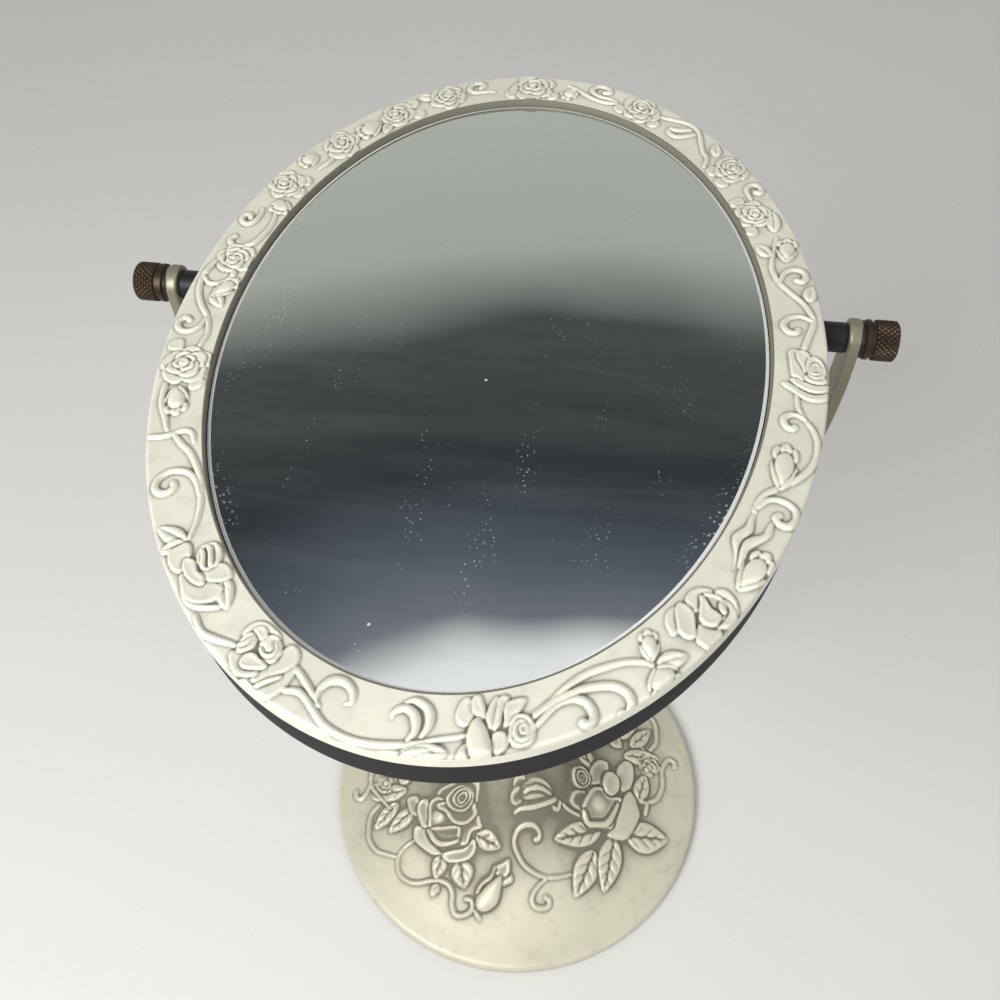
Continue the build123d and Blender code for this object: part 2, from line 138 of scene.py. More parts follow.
# Roses: middle, radius, lean of the heart and turn
BORDER_ROSES = (
    ((175.5, -1.2), 4.4, (-0.5, 0.6), 0.5), ((192.5, 2.0), 4.3, (0.2, 0.6), 2.7),
    ((226, 0.8), 4.8, (0.4, 0.8), 1.7), ((257, 0.6), 5.3, (0.2, 1.0), 0.0),
    ((280.5, 0.5), 4.6, (-0.4, 0.6), 2.2), ((295.5, 0.5), 4.3, (0.5, 0.5), 1.3),
    ((314.5, 0.3), 4.9, (-0.6, 0.7), 0.8), ((335, 1.6), 4.5, (0.0, 0.5), 2.5),
    ((363.4, -1.0), 4.4, (0.3, 0.5), 0.2), ((399, -0.8), 5.2, (-0.7, 0.8), 1.9),
)
# Petals and leaves drawn one by one, hindmost first: share of the relief, floor share, outline.
# A floor share of 1 makes a dome, less makes a cup with a raised rim
BORDER_PATCHES = (
    # Spray at the near end
    (0.55, 0.70, ((9.4, 1.6), (8.3, 2.6), (7.8, 4.2), (8.2, 5.9), (10.5, 6.2), (11, 3))),
    (0.60, 0.70, ((14, 4.3), (15.6, 4.9), (17.2, 5.1), (19.4, 4.9), (19.6, 6.2), (16.5, 6.9),
                  (13.6, 6.4))),
    (0.60, 0.60, ((9.6, -1.4), (8.1, -1.8), (7.5, -3), (7.7, -4.6), (8.4, -6), (9.4, -6.6), (10.3, -5.8),
                  (10.6, -3))),
    (0.65, 0.60, ((12.2, -2.2), (11, -3), (10.3, -4.2), (10.2, -5.6), (10.8, -6.8), (11.9, -6.6),
                  (12.4, -5), (12.8, -3))),
    (0.70, 0.60, ((12.8, -1), (12.8, -3), (13.6, -4.8), (14.8, -6.1), (15.3, -5.4), (14.9, -3.6),
                  (14.2, -1.6), (13.5, -0.2))),
    (0.80, 0.62, ((13.8, 0.1), (14.2, -2), (14.8, -4.2), (15.3, -5.7), (16.4, -6), (17.1, -5.3),
                  (16.2, -4.2), (15.6, -2.8), (15, -1))),
    (0.70, 0.62, ((15.8, -0.4), (15.8, -2), (16, -3.6), (16.8, -4.7), (18.6, -4.9), (20.2, -4.5),
                  (19.4, -3.3), (18.2, -2.1), (17, -0.9))),
    (0.65, 0.62, ((13.5, 0.8), (13.3, 2.6), (13.8, 4.1), (15.2, 3.6), (16.2, 2.2), (15.6, 0.6),
                  (14.4, 0.2))),
    (1.00, 1.00, ((9.3, 0.6), (9.5, 2.8), (10.3, 4.8), (11.6, 6), (13, 5.4), (13.4, 3), (13, 0.2),
                  (12.2, -1.8), (11.1, -2.8), (9.9, -1.6))),
    (0.85, 0.50, ((16.4, 0.4), (16.2, 2), (17, 3.3), (18.6, 3.7), (20, 3), (20.6, 1.2), (20.4, -0.5),
                  (19.5, -1.7), (18, -2), (16.9, -1))),
    (1.00, 0.45, ((17.2, 0), (17, 1.5), (17.6, 2.7), (19, 2.8), (19.9, 1.7), (19.8, 0.1), (18.8, -1),
                  (17.8, -0.8))),
    (1.00, 0.30, ((18.1, 0.2), (18.1, 1.4), (18.9, 1.8), (19.5, 1.1), (19.4, 0.1), (18.8, -0.3))),
    # Flames and rose on the near right
    (0.68, 1.00, ((69.5, -0.2), (72, -0.1), (74, -0.2), (76, 0.5), (78, 1.5), (79.8, 2), (81.4, 1.7),
                  (82.6, 1.2), (81, 0.7), (79.4, 0.7), (78.2, 0), (77, -1.2), (75.4, -2), (73.4, -1.9),
                  (71, -1))),
    (0.72, 1.00, ((68.6, -0.7), (71, -1.4), (73.4, -2.1), (75.4, -2.2), (77, -1.6), (78.6, -1.4),
                  (80.4, -1.9), (82.4, -2.5), (80.6, -3), (78.8, -3), (77, -3.7), (75.4, -4.2),
                  (73.9, -3.8), (72.4, -2.7), (70.6, -1.6))),
    (0.50, 0.70, ((50.3, -1.2), (50.2, -2.8), (50.9, -4.2), (52.4, -5.1), (54.2, -4.9), (55, -4),
                  (53.5, -1))),
    (0.60, 0.68, ((53, 2), (53, 3.6), (53.6, 5.2), (55.2, 5.9), (57, 5.2), (57.6, 3.6), (56.6, 1.6),
                  (55.2, 0.6))),
    (0.60, 0.66, ((56, -1.5), (56.4, -3.4), (57.4, -4.5), (59.4, -4.6), (61.2, -3.6), (62.3, -1.6),
                  (60, -0.5))),
    (0.65, 0.64, ((62, 4.6), (63.5, 3.4), (64.3, 1.6), (64.2, 0), (63.3, -0.9), (62.2, -1), (61.5, 1))),
    (0.75, 0.60, ((57.2, 3.2), (58.2, 4.3), (59.4, 5.1), (60.8, 5.3), (61.9, 4.6), (62.5, 3), (62.4, 1),
                  (60, 2))),
    (0.80, 0.64, ((51.4, -0.8), (52.2, -2.3), (53.4, -3.8), (54.8, -4.7), (55.9, -4.6), (56.4, -3.2),
                  (56.2, -1.4), (55, 0), (53.4, 1.6), (52.1, 1.2))),
    (0.85, 0.40, ((56.8, 2.6), (58.6, 3.2), (60.4, 3.1), (61.8, 2.2), (62.3, 0.4), (61.8, -1.2),
                  (60.4, -2.5), (58, -1))),
    (1.00, 0.70, ((56, 1.4), (56.1, 0), (57.2, -0.9), (58.6, -1.9), (59.8, -2.8), (60, -1.6), (59.4, 0.2),
                  (59.6, 1.6), (59.6, 2.6), (58.4, 3.1), (57, 2.9))),
    (0.95, 0.60, ((60, 2.6), (60.8, 3), (61.4, 2), (61.5, 0.8), (60.8, 1), (60.2, 1.6))),
    # Rose on the right
    (0.60, 0.70, ((118.9, -3.9), (119.2, -2.8), (118.4, -1.2), (117.2, 0.6), (116.6, 2.6), (117, 4.4),
                  (117.8, 5.6), (116, 5.6), (115, 4), (114.8, 2), (115.6, 0), (116.8, -1.6),
                  (117.8, -3.2))),
    (0.68, 0.66, ((120.4, -2), (120.6, -0.6), (119.8, 1), (119.2, 3), (119.6, 5), (120, 5.7), (118.4, 5.7),
                  (117.4, 4.2), (117.2, 2.2), (117.9, 0.2), (118.9, -1.4))),
    (0.65, 0.66, ((120.2, 0.8), (120.8, -0.8), (121.4, -1.8), (123.4, -2.1), (126, -2.3), (128.6, -2.3),
                  (129.4, -1), (128, 0.6), (124, 1))),
    (0.78, 0.62, ((122.4, 0.9), (124.4, 0.1), (126.2, -0.7), (128.6, -0.8), (129, 0.6), (127.6, 2),
                  (125, 1.6))),
    (0.75, 0.62, ((119.8, 4.6), (119.6, 3.2), (120, 1.6), (120.8, 0.8), (121.8, 1), (122.2, 2.6),
                  (121.8, 4.6), (120.8, 5.5))),
    (0.88, 0.50, ((121, 3.4), (121.6, 4.6), (122.8, 5.2), (124.4, 5), (126, 4.4), (127.2, 3.2), (127, 1.8),
                  (124.6, 1.2), (122.6, 1.4), (121.3, 1.9))),
    (1.00, 0.45, ((122, 2.4), (122.2, 3.8), (123.2, 4.5), (124.4, 4.1), (125.4, 3.2), (124.8, 2.2),
                  (123.2, 1.8))),
    (1.00, 0.30, ((123, 2.6), (123.2, 3.6), (124, 3.7), (124.4, 3), (123.8, 2.4))),
    # Roses on the left
    (0.55, 0.66, ((452.6, 2.6), (455, 3.5), (457.4, 3.7), (459.6, 2.6), (461.2, 0.6), (461.7, -1.2),
                  (460.6, -3.2), (458, -2), (455, 0))),
    (0.65, 0.66, ((454.6, 0.2), (456.4, -0.7), (458, -1.9), (459.2, -3.6), (459.6, -5.4), (457.6, -6),
                  (455.4, -5), (454.6, -2.5))),
    (0.70, 0.66, ((446.7, 1.2), (446.9, -0.4), (448, -0.9), (449.8, -0.4), (451.5, 1), (452.2, 2.6),
                  (451, 3.7), (449, 4), (447.2, 3.4))),
    (0.85, 0.60, ((450.2, 0.4), (450.6, 1.5), (452.4, 2), (454.8, 1.7), (456.8, 0.7), (457.4, -0.4),
                  (456, -1), (454, -0.4), (452, -0.8))),
    (0.85, 0.55, ((449.3, -2.8), (449.6, -4.6), (450.8, -5.7), (453.4, -5.8), (455, -4.6), (455.3, -2.6),
                  (454.2, -1), (452, -0.9), (450.2, -1.6))),
    (1.00, 0.80, ((450, -2.4), (451.6, -1.9), (453.6, -1.1), (454.4, -1.6), (453, -2.4), (451, -3))),
    (1.00, 0.80, ((450, -3.6), (452, -3.2), (454.4, -2.5), (454.6, -3.4), (452.4, -4.2), (450.6, -4.5))),
    (0.50, 0.70, ((476.2, 5.6), (478, 5.8), (480.5, 5.2), (482.6, 4.4), (484, 2.5), (484.6, 0),
                  (484.4, -3), (483, -4.5), (480, 0), (478, 3))),
    (0.65, 0.66, ((478.6, 3.1), (480, 2.8), (481.2, 1), (482.4, -0.9), (483.4, -2.8), (483.7, -4.8),
                  (482.4, -6.2), (480.4, -6), (479.6, -3), (478.8, 0))),
    (0.70, 0.62, ((472.2, 2.2), (473.6, 3.6), (475.3, 4.3), (476.6, 4), (478.2, 2.9), (479, 1.4),
                  (476.5, 0.4), (474, 0.6))),
    (0.65, 0.62, ((471.4, -1.2), (470.9, -3), (471.6, -4.8), (473.2, -5.9), (475.6, -6.2), (477.5, -6),
                  (478, -4.5), (475, -2.6), (473, -2))),
    (0.95, 0.70, ((475.1, -3), (475.9, -1.6), (477.4, -0.8), (479, -0.8), (480.1, -2), (480, -3.8),
                  (478.8, -5), (476.9, -5.5), (475.5, -4.6))),
    (0.95, 0.60, ((474.6, 0.6), (475, 2.4), (476.2, 2.6), (477.8, 1.6), (479.2, 0.4), (479.4, -0.6),
                  (477.6, -0.6), (475.8, -0.6))),
    (0.90, 0.60, ((471.9, -0.4), (472.6, 1.2), (473.7, 1.1), (474.6, -0.2), (474.8, -1.6), (474, -2.8),
                  (472.6, -2.9), (471.9, -1.8))),
    (0.80, 0.60, ((472.2, -3.4), (473.6, -3.2), (475, -3), (475.4, -4.4), (474.2, -5.2), (472.8, -4.8))),
)
# Folds over the petals: half width, path
BORDER_RIBBONS = (
    (0.40, ((472.3, 0.4), (473.1, -0.6), (473.3, -2.2))),
    (0.42, ((476.0, -2.0), (477.4, -1.5), (478.8, -2.3), (478.8, -3.8), (477.6, -4.6))),
    (0.40, ((480.2, 3.4), (481.4, 1.4), (482.8, -0.6))),
)

# Ornament of the foot's front half, in millimetres as seen from above; the back half repeats it
FOOT_STEMS = (
    ((-57.7, -20.4), (-60.2, -24.7), (-60.2, -30.4), (-58.8, -35.4), (-54.9, -39.4), (-50.6, -40.6),
     (-45.6, -41.5)),
    ((-9.6, -58.6), (-8, -60.4), (-6.6, -62)),
    ((51.6, -4.4), (57.3, -4.4), (61.6, -1.9), (63.7, 2.4), (64.1, 6.7), (63, 12), (58, 17), (52, 22)),
    ((57.9, -4.7), (57.3, -9.7)), ((30.9, -18.6), (24.4, -17.9), (18.7, -15.8)),
)
FOOT_CURLS = (
    ((-38.8, -34.7), (-42, -36.9), (-44.5, -40.4), (-44.5, -44.7), (-42.4, -48.6), (-38.4, -50.8),
     (-34.1, -51), (-29.9, -49.9), (-25.6, -49.4), (-21.6, -50.6), (-19.5, -53.6), (-19, -57.6),
     (-17.4, -60.8), (-14.9, -61.5), (-11.6, -60.1), (-10.4, -57.6), (-11.3, -55.4), (-13.4, -55.1)),
    ((28.4, -40.4), (23.7, -42.2), (18.7, -43.3), (13.7, -42.7), (8.7, -40.4), (5.5, -36.9), (3.7, -33.3),
     (4.6, -29.7), (7.3, -27.6), (10.9, -26.9), (13.4, -28.3), (13.7, -30.4), (12.4, -31.3)),
    ((18.7, -43.6), (15.5, -46.9), (13.7, -50.1), (13.6, -52.6), (15.1, -54.4), (18, -54.6), (20.5, -53.3),
     (20.5, -51.1), (19.1, -50.4)),
    ((63.4, 10), (64.4, 15), (66.6, 18), (69, 17), (69.2, 14.8)),
    ((20.6, -16.6), (20.4, -18.8), (18.8, -19.6), (17.6, -18.4)),
)
FOOT_LEAVES = (
    ((-41, -22), (-51, -32), 3.4), ((-49, -19.5), (-57.5, -31), 3.2), ((-46, -14), (-62, -17.4), 3.6),
    ((-25.5, -39.5), (-27.4, -49), 3.2), ((-17.7, -41), (-14.7, -51.7), 4.6),
    ((-26, -50.6), (-28, -55.8), 1.8), ((-12.4, -32), (-1.4, -36), 3.5),
    ((38.7, -21.5), (19.8, -29.6), 4.7), ((36.8, -29.5), (30.9, -48.5), 4.9),
    ((44.5, -22.4), (42.4, -44.6), 5.0), ((49.6, -20.6), (67.8, -18.2), 6.4),
    ((53.6, -4.7), (56.2, 8), 3.4), ((33, 2), (24, 10), 3.6),
)
FOOT_ROSES = (
    ((-57.6, -12.6), 4.8, (1, 2), 0.9),
)
FOOT_PATCHES = (
    # Left rose
    (0.50, 0.66, ((-44.6, -17.6), (-44.2, -20.6), (-42, -24), (-38.6, -25), (-38.4, -21), (-40.6, -17))),
    (0.50, 0.66, ((-30, -15), (-31, -20), (-29, -24), (-22, -26), (-14, -24), (-12.4, -20), (-13, -16),
                  (-20, -13.4))),
    (0.55, 0.66, ((-26.3, -39.4), (-22, -37.9), (-17, -36.9), (-14.9, -34.7), (-12.6, -33.6),
                  (-11.6, -36.9), (-13.4, -40.4), (-17, -41.9), (-22, -42.6), (-24.9, -41.1))),
    (0.60, 0.66, ((-17, -25), (-12.6, -25), (-10.6, -28), (-10, -30), (-13.8, -31.2), (-15, -34.8),
                  (-17, -36.2), (-19.4, -35), (-19.6, -29))),
    (0.65, 0.66, ((-39.6, -31.4), (-38.6, -29), (-34, -29.6), (-32, -32.6), (-28.4, -37.2), (-26, -39.5),
                  (-29.9, -39.9), (-34.9, -37.4), (-38.4, -34.8))),
    (0.75, 0.62, ((-39.4, -21.9), (-38.6, -19.2), (-35.8, -18.4), (-34, -21.1), (-33.2, -25.4),
                  (-32.8, -29.4), (-36.2, -29.2), (-38.6, -25))),
    (0.70, 0.55, ((-34, -20), (-31, -18), (-28, -19), (-25, -23), (-22, -27), (-20, -29.4), (-26, -30),
                  (-32.6, -30), (-33.6, -25))),
    (0.90, 0.50, ((-33.6, -30.6), (-30.2, -29.5), (-26.3, -29.2), (-19.4, -29), (-18.8, -33),
                  (-19.5, -35.6), (-22.7, -36.3), (-27.7, -37.1), (-30.6, -35), (-33, -32.4))),
    (0.92, 0.55, ((-30, -20.6), (-29.6, -22.6), (-26.3, -24), (-23.8, -27), (-20.8, -28.6), (-16.4, -28.6),
                  (-12.6, -25.8), (-12.8, -23.6), (-15, -21), (-18, -22), (-24, -20))),
    (0.95, 0.50, ((-26.4, -18.6), (-25.2, -21.9), (-22, -23.9), (-17.7, -24.3), (-14.7, -22),
                  (-14.4, -18.8), (-17, -16.4), (-22, -15.6))),
    (1.00, 0.50, ((-23.4, -19), (-22.4, -21.6), (-19.1, -22.9), (-15.9, -21.3), (-15.4, -18.8),
                  (-17.6, -17), (-21, -16.8))),
    (1.00, 0.35, ((-21.4, -19.4), (-20.4, -21.4), (-18.4, -21.6), (-16.8, -20.2), (-17, -18.4),
                  (-19.4, -17.8))),
    # Bud that lies on its side, and right rose
    (0.45, 0.60, ((6.4, -15.4), (4, -14.6), (2, -16), (1.6, -18), (3.6, -19.2), (6, -18.6))),
    (0.50, 0.60, ((6, -17.8), (3.2, -17.8), (1, -19.6), (1, -21.8), (3.2, -22.8), (6, -21))),
    (0.54, 1.00, ((17.8, -15.4), (15, -13.2), (11, -13.4), (7.2, -15.2), (4.8, -18), (5.8, -20.6),
                  (9.6, -20.4), (13.6, -18.8), (16.6, -17.2))),
    (0.50, 0.84, ((43, 3.1), (44, 8), (47, 11.6), (50, 10.6), (51, 5), (49.8, -0.4), (46.6, -2.9),
                  (44.4, -0.4))),
    (0.55, 0.66, ((24.4, -14.7), (25.8, -10.4), (30.1, -8.6), (31.4, -12.6), (30.4, -16.2),
                  (26.6, -16.4))),
    (0.60, 0.82, ((30.9, -4), (31.4, 1.7), (34.4, 6.9), (38.7, 7.6), (39.4, 3.1), (37.6, -1.9),
                  (33.7, -4.9))),
    (0.75, 1.00, ((46.6, -5.4), (49.2, -1.7), (51.8, -2.9), (54, -7.2), (55, -11.1), (53.2, -16.9),
                  (50.3, -22), (45.9, -23.6), (41.6, -22.8), (42.6, -19.4), (44, -14), (45.4, -7.6))),
    (0.75, 0.50, ((24.4, -6.5), (24.4, -2.6), (27.6, 0.2), (31.2, -1.7), (31.8, -5.4), (29, -8.3),
                  (26, -8.7))),
    (0.90, 0.45, ((26, -5.8), (25.9, -3), (27.9, -1.4), (30.2, -2.8), (30.4, -5.2), (28.4, -7))),
    (0.95, 0.35, ((27, -5.2), (27, -3.6), (28.4, -2.9), (29.3, -4), (28.9, -5.4), (27.9, -5.9))),
    (0.85, 0.60, ((29.6, -15.6), (30.7, -10.4), (33.5, -5.6), (37.3, -4.5), (40.1, -6.8), (43.7, -6.1),
                  (46.2, -6.3), (44.4, -12.6), (43.2, -19.2), (37.3, -21), (33.2, -22.2), (32, -19))),
    (1.00, 0.88, ((37.2, 0.3), (38.6, 3.1), (41.2, 3.6), (44, 1.8), (44.6, -2.6), (42.4, -6.2),
                  (39.3, -6.3), (37.2, -3.3))),
    # Bud at the front
    (0.55, 0.60, ((-3.8, -42.6), (-0.6, -41.1), (2.3, -39.4), (3.2, -43.3), (1.8, -45.8), (-1.6, -45.4),
                  (-3.4, -44.6))),
    (0.55, 0.80, ((-0.4, -46.9), (2, -46), (4.1, -44.5), (4.8, -46.8), (2.6, -48.2), (0.2, -48.9))),
    (0.80, 1.00, ((-9.3, -56.9), (-9, -53.3), (-6.5, -50), (-3.1, -46.8), (0.2, -45.4), (0.5, -50.4),
                  (-0.4, -55.4), (-3.8, -58.5), (-7.4, -58.9))),
)

# Soft rises in the cups of the roses: middle, radius, share of the relief
FOOT_SWELLS = (((-29.2, -25.6), 2.4, 0.40), ((36, -11.6), 3.4, 0.42))
# Rolled lips and sepals over the petals: half width, path
FOOT_RIBBONS = (
    (0.8, ((-9.2, -52.4), (-7.4, -49), (-4.1, -46.1), (-3.1, -42.6))),
    (1.5, ((30.6, -16.4), (32.6, -20), (36.4, -19.6), (40.6, -18), (43, -14), (44.8, -9))),
    (0.9, ((18.6, -16.6), (14.4, -19.4), (9.4, -21.8), (5, -23.2), (3, -24.6))),
    (0.7, ((16.4, -15.9), (12.4, -15.8), (8.6, -17), (6, -18.8))),
    (1.3, ((-32, -31.6), (-29.6, -34.4), (-26.4, -35.8), (-22.6, -35.4), (-19.8, -34.4))),
)

# Rows of petals of a rose, outermost first: reach, radius, count, share of the height
ROSE_ROWS = ((0.50, 0.52, 5, 0.62), (0.30, 0.42, 4, 0.80), (0.15, 0.29, 3, 0.92), (0.0, 0.18, 1, 1.00))
ROSE_SEED = 11
# Widths along a stroke: share of the way, share of the half width
VINE = ((0, 0.7), (0.08, 0.95), (0.6, 1), (1, 0.62))
COMMA = ((0, 0.6), (0.4, 1), (0.82, 1.12), (1, 1.0))
HORN = ((0, 0.35), (0.4, 1.15), (0.75, 0.9), (1, 0.2))
# Oval on which the border's ornament is laid out, in millimetres: half sizes, inset of the border's
# middle line, and place of the oval's middle
LAYOUT_HALF = (72.0, 101.0)
LAYOUT_INSET = 6.3
LAYOUT_MIDDLE = -15.0

# Flare of the foot: share of the way out from neck to rim, share of the way up
FLARE_SHARES = (
    (1, 0), (0.844, 0.043), (0.672, 0.104), (0.5, 0.193), (0.344, 0.309), (0.219, 0.461), (0.109, 0.675),
    (0.039, 0.854), (0, 1),
)
# Turned column: share of its height, radius in millimetres
COLUMN_TURNING = (
    (0.00, 10.0), (0.03, 9.9), (0.05, 9.0), (0.10, 7.7), (0.20, 6.3), (0.30, 5.8), (0.38, 6.0),
    (0.41, 6.5), (0.42, 7.5), (0.437, 8.0), (0.454, 7.5), (0.462, 7.0), (0.475, 8.5), (0.497, 9.5),
    (0.52, 9.6), (0.543, 9.5), (0.565, 8.5), (0.578, 7.0), (0.586, 7.5), (0.603, 8.0), (0.62, 7.5),
    (0.63, 6.5), (0.66, 6.0), (0.74, 5.8), (0.84, 6.1), (0.92, 6.7), (0.955, 7.2), (0.97, 7.6),
    (1.00, 7.6),
)


class MirrorCarving(bpy.types.PropertyGroup):
    """Sizes of the cast relief and of the turned and bent pieces."""

    border_relief: FloatProperty(name="Border Relief", description="Height of the border's ornament",
                                 default=0.92 * MM, min=0, unit="LENGTH")
    foot_relief: FloatProperty(name="Foot Relief", description="Height of the foot's roses over its flare",
                               default=2.2 * MM, min=0, unit="LENGTH")
    border_stem: FloatProperty(name="Border Stem", description="Half width of the border's vine stems",
                               default=0.68 * MM, min=0, unit="LENGTH")
    foot_stem: FloatProperty(name="Foot Stem", description="Half width of the foot's vine stems",
                             default=0.88 * MM, min=0, unit="LENGTH")
    bar_round: FloatProperty(name="Bar Rounding", description="Rounding of the yoke bar's edges",
                             default=0.7 * MM, min=0, unit="LENGTH")
    knurl_depth: FloatProperty(name="Knurl Depth", description="Depth of the knobs' knurling",
                               default=0.34 * MM, min=0, unit="LENGTH")
    knurl_count: IntProperty(name="Knurl Count", description="Knurl ridges around a knob",
                             default=24, min=3)


class MirrorFinishes(bpy.types.PropertyGroup):
    """Colours and roughness of the finishes."""

    pewter: FloatVectorProperty(name="Border Pewter", description="Satin pewter of the border",
                                default=(0.76, 0.74, 0.635), min=0, max=1, subtype="COLOR")
    # Partly painted shade: the foot and stem pewter is given darker than the border's, for the shade of the
    # mirror head, with its own yellower tone
    stand: FloatVectorProperty(name="Stand Pewter", description="Duller pewter of foot and stem",
                               default=(0.57, 0.55, 0.43), min=0, max=1, subtype="COLOR")
    # Painted shade: the yoke bar is the same pewter, given much darker for the shade it stands in
    bar: FloatVectorProperty(name="Yoke Pewter", description="Duller pewter of the yoke bar",
                             default=(0.22, 0.21, 0.15), min=0, max=1, subtype="COLOR")
    patina: FloatVectorProperty(name="Patina", description="Dark patina in the recesses",
                                default=(0.085, 0.08, 0.052), min=0, max=1, subtype="COLOR")
    shell: FloatVectorProperty(name="Back Shell", description="Charcoal back shell",
                               default=(0.015, 0.013, 0.0145), min=0, max=1, subtype="COLOR")
    bronze: FloatVectorProperty(name="Knob Bronze", description="Brown bronze of the knobs",
                                default=(0.046, 0.029, 0.017), min=0, max=1, subtype="COLOR")
    silver: FloatVectorProperty(name="Silvering", description="Tint of the silvered glass",
                                default=(0.80, 0.83, 0.81), min=0, max=1, subtype="COLOR")
    dust: FloatVectorProperty(name="Dust", description="Dust and flecks on the glass",
                              default=(0.50, 0.51, 0.50), min=0, max=1, subtype="COLOR")
    # The bevel is given pale as a painted glint along the glass's edge
    bevel: FloatVectorProperty(name="Ground Bevel", description="Pale ground edge of the glass",
                               default=(0.80, 0.82, 0.82), min=0, max=1, subtype="COLOR")
    pewter_roughness: FloatProperty(name="Pewter Roughness", description="Roughness of the satin pewter",
                                    default=0.42, min=0, max=1, subtype="FACTOR")


class MirrorStage(bpy.types.PropertyGroup):
    """Floor, lamps and view."""

    floor: FloatVectorProperty(name="Floor", description="Pale floor", subtype="COLOR",
                               default=(0.66, 0.655, 0.64), min=0, max=1)
    key_power: FloatProperty(name="Key Lamp", description="Power of the main soft lamp",
                             default=6.4, min=0, unit="POWER")
    fill_power: FloatProperty(name="Fill Lamp", description="Power of the fill lamp",
                              default=2.5, min=0, unit="POWER")
    room_light: FloatProperty(name="Room Light", description="Level of the even light from all round",
                              default=0.53, min=0, subtype="FACTOR")
    lens: FloatProperty(name="Lens", description="Focal length of the camera",
                        default=0.03776, min=0.001, unit="CAMERA")


def smooth_path(points, spacing, closed=False):
    """Points at even steps along a smooth curve through the given ones."""
    points = np.asarray(points, float)
    if closed:
        points = np.vstack([points, points[:1]])
        ends = np.vstack([points[-2], points, points[1]])
    else:
        ends = np.vstack([2 * points[0] - points[1], points, 2 * points[-1] - points[-2]])
    share = np.linspace(0, 1, 24, endpoint=False)[:, None]
    runs = []
    for before, start, stop, after in zip(ends, ends[1:], ends[2:], ends[3:]):
        bend = 2 * before - 5 * start + 4 * stop - after
        twist = 3 * start - before - 3 * stop + after
        runs.append(start + (stop - before) * share / 2 + bend * share**2 / 2 + twist * share**3 / 2)
    curve = np.vstack(runs + [points[-1:]])
    reach = np.concatenate([[0], np.cumsum(np.linalg.norm(np.diff(curve, axis=0), axis=1))])
    even = np.linspace(0, reach[-1], max(2, round(reach[-1] / spacing) + 1))
    return np.stack([np.interp(even, reach, column) for column in curve.T], -1)


def blurred(field, spread):
    """Field softened with a round brush; spread is in cells."""
    rows = np.fft.fftfreq(field.shape[0])[:, None]
    columns = np.fft.rfftfreq(field.shape[1])[None]
    soft = np.exp(-2 * (np.pi * spread)**2 * (rows**2 + columns**2))
    return np.fft.irfft2(np.fft.rfft2(field) * soft, field.shape)


